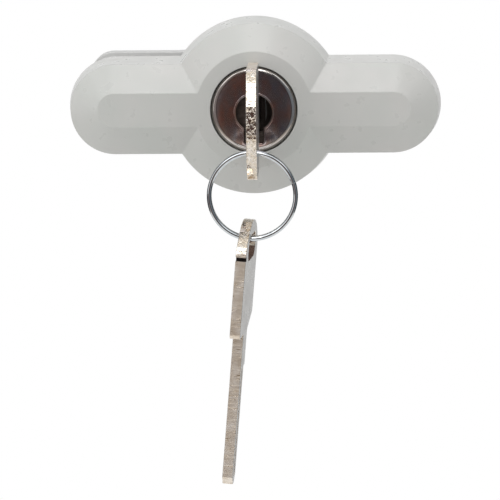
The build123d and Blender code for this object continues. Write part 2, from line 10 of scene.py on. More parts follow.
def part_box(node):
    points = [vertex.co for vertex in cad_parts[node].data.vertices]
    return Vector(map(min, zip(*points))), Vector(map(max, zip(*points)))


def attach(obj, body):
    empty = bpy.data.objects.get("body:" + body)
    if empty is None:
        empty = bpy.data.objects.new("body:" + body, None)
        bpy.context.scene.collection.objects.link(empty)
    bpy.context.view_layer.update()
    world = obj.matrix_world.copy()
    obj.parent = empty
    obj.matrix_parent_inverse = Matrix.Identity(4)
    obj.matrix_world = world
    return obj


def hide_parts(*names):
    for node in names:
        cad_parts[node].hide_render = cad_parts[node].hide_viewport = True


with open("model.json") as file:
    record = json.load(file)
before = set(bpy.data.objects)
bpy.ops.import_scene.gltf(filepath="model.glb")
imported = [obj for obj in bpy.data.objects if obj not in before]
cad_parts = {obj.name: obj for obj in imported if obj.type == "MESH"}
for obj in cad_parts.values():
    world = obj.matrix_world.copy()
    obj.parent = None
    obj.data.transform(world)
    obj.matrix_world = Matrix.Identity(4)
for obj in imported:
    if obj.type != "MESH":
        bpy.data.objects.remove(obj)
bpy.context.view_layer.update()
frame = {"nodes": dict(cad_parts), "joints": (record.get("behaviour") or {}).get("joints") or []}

# Looks of a key-locked wing handle for a cabinet door, around its CAD frame.
# Lengths are millimetres until a mesh is finished, which turns them to metres.
MM = 0.001


def corners(node):
    """A CAD node's lowest and highest corners in millimetres."""
    low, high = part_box(node)
    return low / MM, high / MM


def joint_point(name):
    """Where a hinge lies, in millimetres."""
    joint = next(j for j in frame["joints"] if j["name"] == name)
    return Vector(joint["pos_m"]) / MM


# Wing handle: a hub and two wings, each a flat, a bevel and a drafted skirt
handle_low, handle_high = corners("wing_handle")
handle_face = handle_low.y
handle_back = handle_high.y
skirt_draft = 1.13
bevel_depth = 3.2
hub_bevel = 6.4
hub_edge_r = handle_high.z - skirt_draft
hub_flat_r = hub_edge_r - hub_bevel
wing_step_flat = 9.7
wing_step_edge = 9.5
reach_step_flat = 23.2
reach_step_edge = handle_high.x - handle_high.z
handle_wall = 2.2
flat_rounding = 0.7
flat_margin = 1.0
ceiling_margin = 0.4
witness_line = 0.13
witness_groove = 1.6 * witness_line
witness_end = 2.2 * witness_line
witness_step = 0.02
witness_proud = 0.05
bevel_rounding = 0.1
rim_edge_rounding = 0.3
inner_rounding = 0.6
hub_corner_r = 0.45
recess_gap = 0.28
recess_rounding = 0.12
boss_wall = 1.9
boss_rounding = 0.3
bore_rounding = 0.2
housing_step = 0.8
seat_gap = 0.1
rib_thick = 1.4
rib_pitch = 9.0
rib_set_back = 3.0
rib_root = 0.8
rib_slope_root = 0.6
rib_slope_start = 2.0
cross_ribs = 2
cross_rib_root = 0.4
post_r = 2.3
post_root = 0.5
post_bore_r = 1.45
post_bore_depth = 5.2
post_circle_r = 14.0
post_angles = (45, 135, 225, 315)
cut_over = 1.0

# Barrel
rim_low, rim_high = corners("barrel_rim")
rim_r = rim_high.x
rim_inner_r = 8.93
rim_lip = 1.2
rim_wall = 0.65
rim_joint_bevel = 0.02
rim_joint_inset = 0.015
rim_roll_slope = 0.2
rim_roll_drop = 0.27
rim_roll_power = 2.7
rim_roll_steps = 12
rim_roll_end_r = 9.98
rim_edge_drop = 0.55
cap_dome = 0.36
cap_power = 4
dome_rings = 22
cap_top = -17.86
cover_high = corners("plug_cover")[1]
cover_r = cover_high.x
keyhole_r = 4.22
keyhole_drop = 0.7
notch_width = 4.5
notch_wall = 0.95
notch_rounding = 0.5
keyhole_edge = 0.5
lip_depth = 1.0
# The rolled lip's section: how far each point lies inside the keyhole's line, and behind the dome
lip_section = [(-0.58, 0.05), (-0.5, -0.02), (-0.36, -0.035), (-0.2, -0.01), (-0.08, 0.08), (0, 0.26),
               (0, lip_depth), (-0.58, lip_depth)]
guide_outer_r = 5.45
guide_back = 3.2
guide_front = 0.8
guide_gap = 1.9
guide_bulge = 0.55
guide_rounding = 0.45
guide_front_facing = -0.97
bead_r = 0.34
bead_proud = 0.1
bead_edge = 0.02
wafer_count = 5

# Keys
key_low, key_high = corners("inserted_key")
key_half_thick = key_high.x
key_above = key_high.z
key_below = -key_low.z
key_length = key_high.y - key_low.y
bow_length = 26.2
bow_end_r = 16.0
bow_end_margin = 4.0
bow_corner_rounding = 2.0
bow_shoulder_rounding = 1.2
neck_rounding = 0.3
bow_slope_start = 3.0
key_hole_above = 6.4
key_hole_below = 8.9
key_hole_height = 5.8
key_hole_web = 3.2
neck_length = 8.3
neck_below = 5.0
blade_half_width = 3.0
blade_groove_width = 1.6
blade_groove_depth = 0.5
blade_groove_rounding = 0.7
tip_chamfer = 1.8
tip_flat = 2.0
tip_rounding = 0.4
tip_shoulder_rounding = 0.6
key_edge_break = 0.14
key_break_steps = 3
nick_u = 7.75
nick_half = 0.42
nick_depth = 1.3
nick_margin = 0.05
hole_margin = 0.1
side_facing = 0.9
hole_facing = -0.3
end_facing = -0.25
cutter_step = 0.3
cutter_depth = 0.03
spare_lean = 4.9
spare_twist = 4.5
spare_side_step = 1.35
spare_hang = 4.29

# Split ring
ring_low, ring_high = corners("key_ring")
ring_wire_r = 0.55
ring_mean_r = 9.92
ring_pitch = 1.24
ring_turns = 1.95
ring_end_angle = 18.0
ring_end_length = 0.08
ring_end_share = 0.82

# Tongue
tongue_low, tongue_high = corners("closing_tongue")
tongue_half = 10.7
tongue_corner_r = 5.5
tongue_hub_r = 18.5
tongue_hub_fillet = 10.0
tongue_hub_step = 0.6
tongue_rounding = 0.3
tongue_hole = 12.4
tongue_pocket_depth = 3.5
tongue_pocket_wall = 2.2
pocket_rounding = 0.8
pocket_draft = 0.15

# Base, neck and what fastens them
base_low, base_high = corners("mounting_base")
gasket_low, gasket_high = corners("door_gasket")
neck_bore_r = 10.15
bore_chamfer = 0.3
neck_chamfer = 0.4
flange_front_rounding = 0.5
flange_back_rounding = 0.3
neck_r = 14.0
undercut_depth = 0.6
thread_start = 2.3
thread_pitch = 1.5
thread_depth = 0.75
thread_crest = 0.25
thread_root = 0.2
peg_r = 1.0
peg_shoulder_r = 1.5
peg_length = 1.9
peg_circle_r = 16.1
peg_root = 0.5
peg_tip_r = 0.3
peg_step_rounding = 0.2
peg_foot_rounding = 0.15
peg_tip_rounding = 0.35
bolt_low, bolt_high = corners("locking_bolt")
bolt_travel = 2.4
keeper_spare = 0.25
keeper_side_gap = 0.3
keeper_front_gap = 0.2
stop_groove_width = 3.2
stop_groove_depth = 1.7
stop_groove_start = 81
stop_groove_end = 189
gasket_gap = 0.2
gasket_lip = 1.4
gasket_slope = 0.3
gasket_groove_depth = 0.25
gasket_rounding = 0.5
gasket_inner_rounding = 0.3
washer_low, washer_high = corners("toothed_washer")
washer_gap = 0.1
washer_teeth = 18
washer_steps_per_tooth = 8
washer_tooth_share = 0.3
washer_tooth_depth = 1.1
washer_tooth_root = 0.4
washer_tooth_half_thick = 0.15
washer_tooth_twist = 0.75
nut_low, nut_high = corners("mounting_nut")
nut_chamfer_angle = 30
nut_chamfer_inset = 0.15
nut_chamfer_steps = 6
nut_corner_rounding = 0.35
nut_thread_gap = 0.05
nut_thread_half = 0.4
nut_thread_depth = 0.5
nut_lead_in = 0.65
nut_lead_out = 0.6
nut_mouth = 0.7
thrust_low, thrust_high = corners("thrust_washer")
thrust_gap = 0.05
thrust_rounding = 0.2
thrust_inner_rounding = 0.15
tongue_washer_low, tongue_washer_high = corners("tongue_washer")
spring_washer_low, spring_washer_high = corners("tongue_spring_washer")
washer_rounding = 0.25
washer_bore_rounding = 0.1
spring_washer_thick = 1.15
spring_washer_half_gap = 7
spring_washer_rounding = 0.15
screw_low, screw_high = corners("tongue_screw")
screw_bore_r = 3.1
screw_r = 2.9
screw_tip_r = 2.2
screw_face_r = 4.7
screw_face_thick = 0.2
screw_corner_rounding = 0.1
screw_dish_r = 3.4
screw_dish_floor_r = 3.2
screw_dish_depth = 0.25

# Vertices nearer than this are one, and edges shorter than this go
weld_distance = 0.0005
sliver_length = 0.0002

# How many steps each round shape has, from whole turns to a corner's rounding
RIM = 160
HEXAGON = 144
FINE = 128
COARSE = 72
SPRING = 80
QUARTER = 32
GUIDE = 40
BOW_END = 40
SLOT_END = 20
RING = 20
RING_TURN = 96
BEAD = 16
SMALL = 12
ARC = 10


def linear(hex_colour):
    """The linear colour of an sRGB hex value."""
    srgb = [int(hex_colour[i:i + 2], 16) / 255 for i in (1, 3, 5)]
    return [c / 12.92 if c <= 0.04045 else ((c + 0.055) / 1.055) ** 2.4 for c in srgb] + [1.0]


def add(tree, kind, settings=None, links=None):
    """Adds one node; a setting that names an input sets that, and any other sets the node itself."""
    node = tree.nodes.new(kind)
    for key, value in (settings or {}).items():
        if isinstance(key, int) or (key in node.inputs and not hasattr(node, str(key))):
            node.inputs[key].default_value = value
        else:
            setattr(node, key, value)
    for socket, source in (links or {}).items():
        tree.links.new(source, node.inputs[socket])
    return node


# Settings that many nodes share, by socket: a range node maps 1 to 2 onto 3 to 4, and a colour mix goes from
# colour 6 to colour 7
middle_range = {1: 0.3, 2: 0.7, 3: 0.0, 4: 1.0}
colour_mix = {"data_type": "RGBA"}


class Finish:
    """A material with one surface shader; the sizes and depths of its textures are millimetres."""

    def __init__(self, name, hex_colour, **inputs):
        self.material = bpy.data.materials.new(name)
        self.material.use_nodes = True
        self.tree = self.material.node_tree
        self.shader = self.tree.nodes["Principled BSDF"]
        self.shader.inputs["Base Color"].default_value = linear(hex_colour)
        for key, value in inputs.items():
            self.shader.inputs[key].default_value = value
        self.place = add(self.tree, "ShaderNodeTexCoord").outputs["Object"]

    def mottle(self, size, detail=3.0, stretch=(1, 1, 1)):
        """Cloudy variation with features of a size, longer along an axis whose stretch is small."""
        mapping = add(self.tree, "ShaderNodeMapping", {"Scale": stretch}, {"Vector": self.place})
        return add(self.tree, "ShaderNodeTexNoise", {"Scale": 1 / (size * MM), "Detail": detail},
                   {"Vector": mapping.outputs["Vector"]}).outputs["Fac"]

    def blend(self, texture, first, second, ends=middle_range):
        """A colour between two, by a texture."""
        share = add(self.tree, "ShaderNodeMapRange", ends, {0: texture}).outputs[0]
        colours = colour_mix | {6: linear(first), 7: linear(second)}
        return add(self.tree, "ShaderNodeMix", colours, {0: share}).outputs[2]

    def colour(self, texture, first, second):
        """Colours the surface between two, by a texture."""
        self.tree.links.new(self.blend(texture, first, second), self.shader.inputs["Base Color"])

    def sheen(self, texture, low, high):
        """Varies the roughness over a range, by a texture."""
        varied = add(self.tree, "ShaderNodeMapRange", middle_range | {3: low, 4: high}, {0: texture})
        self.tree.links.new(varied.outputs[0], self.shader.inputs["Roughness"])

    def relief(self, *heights):
        """Bumps, each a texture and its real depth."""
        normal = None
        for height, depth in heights:
            links = {"Height": height}
            if normal is not None:
                links["Normal"] = normal
            bump = add(self.tree, "ShaderNodeBump", {"Strength": 1.0, "Distance": depth * MM}, links)
            normal = bump.outputs["Normal"]
        self.tree.links.new(normal, self.shader.inputs["Normal"])


def light_grey_abs():
    """Injection-moulded ABS: satin, with a fine grain, slow waves from shrinkage and a few dirt specks."""
    speck_pitch = 11.0
    speck_inner = 0.008
    speck_outer = 0.018
    rarest = 0.9
    made = Finish("light_grey_abs", "#c9cac6", Roughness=0.3, IOR=1.53)
    tree = made.tree
    speck = add(tree, "ShaderNodeTexVoronoi", {"Scale": 1 / (speck_pitch * MM)}, {"Vector": made.place})
    near = add(tree, "ShaderNodeMapRange", {1: speck_inner, 2: speck_outer, 3: 1.0, 4: 0.0},
               {0: speck.outputs["Distance"]}).outputs[0]
    chosen = add(tree, "ShaderNodeSeparateColor", {}, {"Color": speck.outputs["Color"]}).outputs["Red"]
    rare = add(tree, "ShaderNodeMath", {"operation": "GREATER_THAN", 1: rarest}, {0: chosen}).outputs[0]
    dirt = add(tree, "ShaderNodeMath", {"operation": "MULTIPLY"}, {0: near, 1: rare}).outputs[0]
    body = made.blend(made.mottle(14.0), "#c6c8c4", "#cccbc8")
    specked = add(tree, "ShaderNodeMix", colour_mix | {7: linear("#9b9a94")}, {0: dirt, 6: body})
    tree.links.new(specked.outputs[2], made.shader.inputs["Base Color"])
    made.sheen(made.mottle(3.0), 0.26, 0.36)
    made.relief((made.mottle(0.35), 0.004), (made.mottle(9.0, 1.0), 0.02))
    return made.material


def light_grey_polyamide():
    """Moulded glass-filled polyamide: matt, a little rougher, with fibres lying near the surface."""
    made = Finish("light_grey_polyamide", "#cfcfcd", Roughness=0.5, IOR=1.53)
    fibre = made.mottle(0.5, 2.0, (0.25, 1, 1))
    made.colour(fibre, "#cbcbca", "#d3d3d1")
    made.sheen(made.mottle(2.0), 0.45, 0.58)
    made.relief((fibre, 0.008), (made.mottle(0.25), 0.008))
    return made.material


def black_polyamide():
    """Moulded black glass-filled polyamide: grey bloom of fibres on a near-black body."""
    made = Finish("black_polyamide", "#232425", Roughness=0.48, IOR=1.53)
    fibre = made.mottle(0.6, 3.0, (1, 0.3, 1))
    made.colour(fibre, "#1d1e1f", "#303132")
    made.sheen(made.mottle(1.5), 0.4, 0.56)
    made.relief((fibre, 0.01), (made.mottle(0.2), 0.008))
    return made.material


def sealing_rubber():
    """Moulded nitrile rubber: dull black with a dusty skin."""
    made = Finish("sealing_rubber", "#1a1a1a", Roughness=0.78, IOR=1.52)
    dust = made.mottle(1.2, 4.0)
    made.colour(dust, "#161616", "#2a2928")
    made.sheen(dust, 0.7, 0.88)
    made.relief((made.mottle(0.3), 0.012))
    return made.material


def natural_acetal():
    """Turned acetal: milky white, with fine rings left by the tool."""
    made = Finish("natural_acetal", "#e4e2da", Roughness=0.42, IOR=1.48)
    rings = made.mottle(0.4, 1.0, (1, 3, 1))
    made.colour(rings, "#dedcd3", "#e9e7e0")
    made.relief((rings, 0.006))
    return made.material


def chrome_plate():
    """Polished chrome plate over a turned blank: mirror bright, with smears left by handling."""
    made = Finish("chrome_plate", "#cfcac6", Metallic=1.0, Roughness=0.12)
    smear = made.mottle(2.2, 4.0, (1, 1, 0.5))
    made.colour(smear, "#d2cecb", "#bdb6b0")
    made.sheen(smear, 0.08, 0.2)
    made.relief((made.mottle(1.6, 2.0), 0.004))
    return made.material


def smoked_chrome():
    """Polished chrome on the plug's face, hazed by the key: brown and blue smears over a dark mirror."""
    haze_share = 0.75
    made = Finish("smoked_chrome", "#c4bdb8", Metallic=1.0, Roughness=0.14)
    tree = made.tree
    haze = made.mottle(1.5, 5.0)
    film = made.mottle(3.0, 3.0, (1, 1, 0.6))
    scratch = made.mottle(0.3, 2.0, (1, 1, 0.08))
    smeared = made.blend(film, "#c9a294", "#b9b6bd", {1: 0.38, 2: 0.62, 3: 0.0, 4: 1.0})
    dulled = add(tree, "ShaderNodeMapRange", middle_range | {4: haze_share}, {0: haze}).outputs[0]
    hazed = add(tree, "ShaderNodeMix", colour_mix | {7: linear("#8d827c")}, {0: dulled, 6: smeared})
    tree.links.new(hazed.outputs[2], made.shader.inputs["Base Color"])
    made.sheen(haze, 0.08, 0.24)
    made.relief((scratch, 0.0015), (haze, 0.008), (film, 0.02))
    return made.material


def zinc_casting():
    """Die-cast zinc as it leaves the mould: dull, blotched grey."""
    made = Finish("zinc_casting", "#6f7072", Metallic=1.0, Roughness=0.42)
    blotch = made.mottle(1.6, 4.0)
    made.colour(blotch, "#5f6062", "#828385")
    made.sheen(blotch, 0.34, 0.52)
    made.relief((made.mottle(0.3), 0.01))
    return made.material


def greased_casting():
    """Die-cast zinc inside the lock: blackened by graphite grease, with a wet brown-grey sheen."""
    made = Finish("greased_casting", "#5c544f", Metallic=0.6, Roughness=0.34)
    film = made.mottle(1.2, 4.0)
    made.colour(film, "#4a423d", "#665d57")
    made.sheen(film, 0.26, 0.5)
    made.relief((made.mottle(0.4), 0.01))
    return made.material


def zinc_plate():
    """Bright zinc plate on steel: bluish, with a faint crystal cloudiness."""
    made = Finish("zinc_plate", "#b7babc", Metallic=1.0, Roughness=0.3)
    crystal = made.mottle(0.8, 5.0)
    made.colour(crystal, "#adb1b5", "#c3c4c2")
    made.sheen(crystal, 0.24, 0.4)
    made.relief((made.mottle(0.2), 0.004))
    return made.material


def stamped_brass():
    """Brass strip as stamped: warm, with rolling lines."""
    made = Finish("stamped_brass", "#c9a456", Metallic=1.0, Roughness=0.3)
    rolling = made.mottle(0.3, 2.0, (1, 1, 0.1))
    made.colour(rolling, "#bd9849", "#d3b064")
    made.relief((rolling, 0.004))
    return made.material


def spring_steel():
    """Drawn spring wire: dark steel, half bright from the die."""
    made = Finish("spring_steel", "#8f9193", Metallic=1.0, Roughness=0.26)
    made.colour(made.mottle(0.15), "#808285", "#9ea0a2")
    return made.material


def ring_steel():
    """Nickel-plated spring wire of the split ring: bluish, smooth, with dull patches where it rubs."""
    made = Finish("ring_steel", "#cdd2d5", Metallic=1.0, Roughness=0.08)
    patchiness = made.mottle(1.4, 3.0)
    made.colour(patchiness, "#c2c8cc", "#d6dadc")
    made.sheen(patchiness, 0.05, 0.12)
    made.relief((made.mottle(0.25), 0.002))
    return made.material


def nickel_face():
    """Nickel plate on the key's rolled faces: soft grey, with long rolling lines and handling marks."""
    made = Finish("nickel_face", "#a9a8a5", Metallic=0.65, Roughness=0.3)
    wear = made.mottle(2.6, 4.0)
    made.colour(wear, "#a3a19d", "#b7b5b1")
    made.sheen(wear, 0.26, 0.36)
    made.relief((made.mottle(0.35, 3.0, (1, 0.2, 0.2)), 0.008))
    return made.material


def nickel_sawn():
    """Nickel plate on the key's sawn edges: brass shows through warm, the cutter left ragged steps, and
    painted shade darkens their grooves.
    """
    made = Finish("nickel_sawn", "#e2d6c6", Metallic=0.75, Roughness=0.34)
    tree = made.tree
    steep = {1: 0.35, 2: 0.65, 3: 0.0, 4: 1.0}
    grooved = {1: 0.6, 2: 0.68, 3: 1.0, 4: 0.0}
    step = add(tree, "ShaderNodeMapRange", steep, {0: made.mottle(0.5, 2.0, (0.14, 1, 1))}).outputs[0]
    groove = add(tree, "ShaderNodeMapRange", grooved, {0: made.mottle(0.42, 1.0, (0.1, 1, 1))}).outputs[0]
    pit = add(tree, "ShaderNodeMapRange", steep, {0: made.mottle(0.3, 2.0)}).outputs[0]
    warm = made.mottle(2.4, 4.0)
    plated = made.blend(warm, "#e4d6c3", "#f2eae0")
    # The grooves get a darker colour: painted shade
    sawn = add(tree, "ShaderNodeMix", colour_mix | {6: linear("#b3a28e")}, {0: groove, 7: plated})
    tree.links.new(sawn.outputs[2], made.shader.inputs["Base Color"])
    made.sheen(warm, 0.34, 0.42)
    made.relief((step, 0.025), (groove, 0.03), (pit, 0.012))
    return made.material


def nickel_ground():
    """Nickel plate on the bow's ground end: near a mirror, broken by the pits the grinding left."""
    made = Finish("nickel_ground", "#e2d9cd", Metallic=1.0, Roughness=0.14)
    warm = made.mottle(1.0, 4.0)
    made.colour(warm, "#d8c9b3", "#eae4dc")
    made.sheen(warm, 0.06, 0.12)
    pitted = {1: 0.5, 2: 0.58, 3: 0.0, 4: 1.0}
    pit = add(made.tree, "ShaderNodeMapRange", pitted, {0: made.mottle(0.6, 2.0)}).outputs[0]
    made.relief((pit, 0.06), (made.mottle(1.4, 2.0), 0.008))
    return made.material


def brass_in_painted_shade(name, dark, light):
    """Painted shade on brass, in the saw nick and on one side of the ring hole: brown to nearly black."""
    made = Finish(name, dark, Roughness=0.6)
    shade_mottle = made.mottle(0.4, 3.0)
    made.colour(shade_mottle, dark, light)
    made.relief((shade_mottle, 0.01))
    return made.material


def painted_highlight_bead():
    """The guide's edge: pale, near-white metal whose colour paints a highlight, between satin and polished.
    """
    made = Finish("painted_highlight_bead", "#dfe4dd", Metallic=0.15, Roughness=0.42)
    patchiness = made.mottle(0.5, 3.0)
    made.colour(patchiness, "#dde2dc", "#f4f6f2")
    made.relief((patchiness, 0.004))
    return made.material


abs_grey = light_grey_abs()
polyamide_grey = light_grey_polyamide()
polyamide_black = black_polyamide()
rubber = sealing_rubber()
acetal = natural_acetal()
chrome = chrome_plate()
smoked = smoked_chrome()
cast_zinc = zinc_casting()
greased_zinc = greased_casting()
plated_zinc = zinc_plate()
brass = stamped_brass()
spring_wire = spring_steel()
ring_wire = ring_steel()
# Pale finish that paints the highlight on the key guide's edge
bead_highlight_finish = painted_highlight_bead()
key_face = nickel_face()
key_edge = nickel_sawn()
key_end = nickel_ground()
# Painted shade: nearly black in the saw nick, brown on one side of the ring hole
key_nick_shade = brass_in_painted_shade("nick_painted_shade", "#120b08", "#2a1c14")
key_hole_shade = brass_in_painted_shade("hole_painted_shade", "#4a352b", "#6f5647")


def rounded(points, radii, closed=True):
    """An outline whose corners are arcs of these radii; a radius of 0 keeps the corner."""
    out = []
    for i, (point, radius) in enumerate(zip(points, radii)):
        here = Vector(point)
        if radius == 0 or (not closed and i in (0, len(points) - 1)):
            out.append(here)
            continue
        back = (Vector(points[i - 1]) - here).normalized()
        ahead = (Vector(points[(i + 1) % len(points)]) - here).normalized()
        half = back.angle(ahead) / 2
        centre = here + (back + ahead).normalized() * (radius / sin(half))
        start = here + back * (radius / tan(half)) - centre
        end = here + ahead * (radius / tan(half)) - centre
        turn = start.angle(end)
        for k in range(ARC + 1):
            share = k / ARC
            out.append(centre + (start * sin((1 - share) * turn) + end * sin(share * turn)) / sin(turn))
    return out


def shifted(loop, distance):
    """A closed outline moved inwards by a distance, with mitred corners; it runs anticlockwise."""
    out = []
    for i, here in enumerate(loop):
        back = (Vector(here) - Vector(loop[i - 1])).normalized()
        ahead = (Vector(loop[(i + 1) % len(loop)]) - Vector(here)).normalized()
        left_a = Vector((-back.y, back.x))
        left_b = Vector((-ahead.y, ahead.x))
        out.append(Vector(here) + (left_a + left_b) * (distance / (1 + left_a.dot(left_b))))
    return out


def arc_points(radius, start, end, steps, u=0.0, v=0.0):
    """Points along an arc between two angles, about a centre."""
    turns = [start + (end - start) * i / steps for i in range(steps + 1)]
    return [(u + radius * cos(t), v + radius * sin(t)) for t in turns]


def skin(mesh, rows, wrap=False):
    """Faces between closed rows of points; returns the rows' vertices."""
    loops = [[mesh.verts.new(point) for point in row] for row in rows]
    pairs = list(zip(loops, loops[1:]))
    if wrap:
        pairs.append((loops[-1], loops[0]))
    for a, b in pairs:
        for i in range(len(a)):
            mesh.faces.new((a[i - 1], a[i], b[i], b[i - 1]))
    return loops


def closed_skin(mesh, rows):
    """Faces between closed rows of points, with a face over each end row."""
    loops = skin(mesh, rows)
    mesh.faces.new(loops[0])
    mesh.faces.new(loops[-1])


def cap(mesh, *loops):
    """Flat faces between one outer loop and any holes."""
    edges = [mesh.edges.get((loop[i - 1], loop[i])) for loop in loops for i in range(len(loop))]
    bmesh.ops.triangle_fill(mesh, use_beauty=True, edges=edges)


def circle_row(radius, y, steps=FINE, x=0.0, z=0.0):
    """A round row of points about an axis along Y."""
    turns = [2 * pi * i / steps for i in range(steps)]
    return [(x + radius * cos(t), y, z + radius * sin(t)) for t in turns]


def lathe(mesh, profile, steps=FINE, x=0.0, z=0.0):
    """A closed ring turned about an axis along Y from (radius, y) points."""
    skin(mesh, [circle_row(radius, y, steps, x, z) for radius, y in profile], wrap=True)


def facing_front(u, v, depth):
    """A plate's point where the plate faces the front: u is across, v is up."""
    return u, depth, v


def facing_side(u, v, depth):
    """A plate's point where the plate faces the side: u runs back, v is up."""
    return depth, u, v


def facing_up(u, v, depth):
    """A plate's point where the plate lies level: u is across, v runs back."""
    return u, v, depth


def plate(mesh, outline, holes, levels, place=facing_front):
    """A plate with its edges shaped by (depth, inset) levels; place puts (u, v, depth) in space."""
    fronts, backs = [], []
    for loop, side in [(outline, 1)] + [(hole, -1) for hole in holes]:
        rows = [[place(u, v, depth) for u, v in shifted(loop, side * inset)] for depth, inset in levels]
        made = skin(mesh, rows)
        fronts.append(made[0])
        backs.append(made[-1])
    cap(mesh, *fronts)
    cap(mesh, *backs)


def break_levels(front, back, radius, steps=4):
    """Levels of a plate between two depths with rounded edges of a radius."""
    turns = [pi / 2 * i / steps for i in range(steps + 1)]
    fore = [(front + radius * (1 - sin(t)), radius * (1 - cos(t))) for t in turns[::-1]]
    aft = [(back - radius * (1 - sin(t)), radius * (1 - cos(t))) for t in turns]
    return fore + aft


def object_from(name, mesh):
    """An object from a mesh in millimetres, with clean outward faces."""
    bmesh.ops.remove_doubles(mesh, verts=mesh.verts, dist=weld_distance)
    bmesh.ops.dissolve_degenerate(mesh, edges=mesh.edges, dist=sliver_length)
    bmesh.ops.recalc_face_normals(mesh, faces=mesh.faces)
    data = bpy.data.meshes.new(name)
    mesh.to_mesh(data)
    mesh.free()
    obj = bpy.data.objects.new(name, data)
    bpy.context.scene.collection.objects.link(obj)
    return obj


def combine(obj, mesh, operation):
    """Joins a second mesh to an object, or cuts it out."""
    other = object_from("tool", mesh)
    step = obj.modifiers.new("step", "BOOLEAN")
    step.operation = operation
    step.solver = "EXACT"
    step.object = other
    bpy.context.view_layer.update()
    graph = bpy.context.evaluated_depsgraph_get()
    result = bpy.data.meshes.new_from_object(obj.evaluated_get(graph))
    obj.modifiers.clear()
    obj.data = result
    bpy.data.objects.remove(other)


def finish_piece(obj, materials, body, sharp, chosen=()):
    """Turns a piece to metres, shades it, gives it its materials and fixes it to its body."""
    obj.data.transform(Matrix.Scale(MM, 4))
    obj.data.shade_smooth()
    obj.data.set_sharp_from_angle(angle=radians(sharp))
    obj.data.materials.clear()
    for material in materials:
        obj.data.materials.append(material)
    for polygon, index in zip(obj.data.polygons, chosen):
        polygon.material_index = index
    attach(obj, body)


def show(obj, materials, body, node, sharp=28, chosen=()):
    """Finishes a piece that stands in place of its CAD node."""
    finish_piece(obj, materials, body, sharp, chosen)
    weights = obj.modifiers.new("even_shading", "WEIGHTED_NORMAL")
    weights.keep_sharp = True
    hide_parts(node)


def box_in(mesh, low, high):
    """Adds a closed box between two corners."""
    (left, front, bottom), (right, back, top) = low, high
    outline = [Vector(p) for p in ((left, bottom), (right, bottom), (right, top), (left, top))]
    plate(mesh, outline, [], [(front, 0), (back, 0)])


def rod_in(mesh, radius, y0, y1, x, z, steps=40):
    """Adds a closed rod along Y."""
    closed_skin(mesh, [circle_row(radius, y0, steps, x, z), circle_row(radius, y1, steps, x, z)])


def mirrored(quarter):
    """A full loop from its first quadrant, which starts on +X and ends on +Z."""
    top = quarter + [(-x, z) for x, z in quarter[-2::-1]]
    return top + [(x, -z) for x, z in top[-2:0:-1]]


def handle_outline(hub_r, corner):
    """The hub's circle joined to the round-ended bar of the wings, for one hub radius."""
    share = min(max((hub_r - hub_flat_r) / hub_bevel, 0), 1)
    half = hub_r - wing_step_flat + (wing_step_flat - wing_step_edge) * share
    reach = hub_r + reach_step_flat + (reach_step_edge - reach_step_flat) * share
    centre = sqrt((hub_r + corner) ** 2 - (half + corner) ** 2)
    meet = atan2(half + corner, centre)
    quarter = arc_points(half, 0, pi / 2, QUARTER, reach - half)
    quarter += arc_points(corner, -pi / 2, meet - pi, ARC, centre, half + corner)
    quarter += arc_points(hub_r, meet, pi / 2, QUARTER)[1:]
    return mirrored(quarter)


def handle_row(hub_r, y, corner):
    """The handle's outline at a level."""
    return [(x, y, z) for x, z in handle_outline(hub_r, corner)]


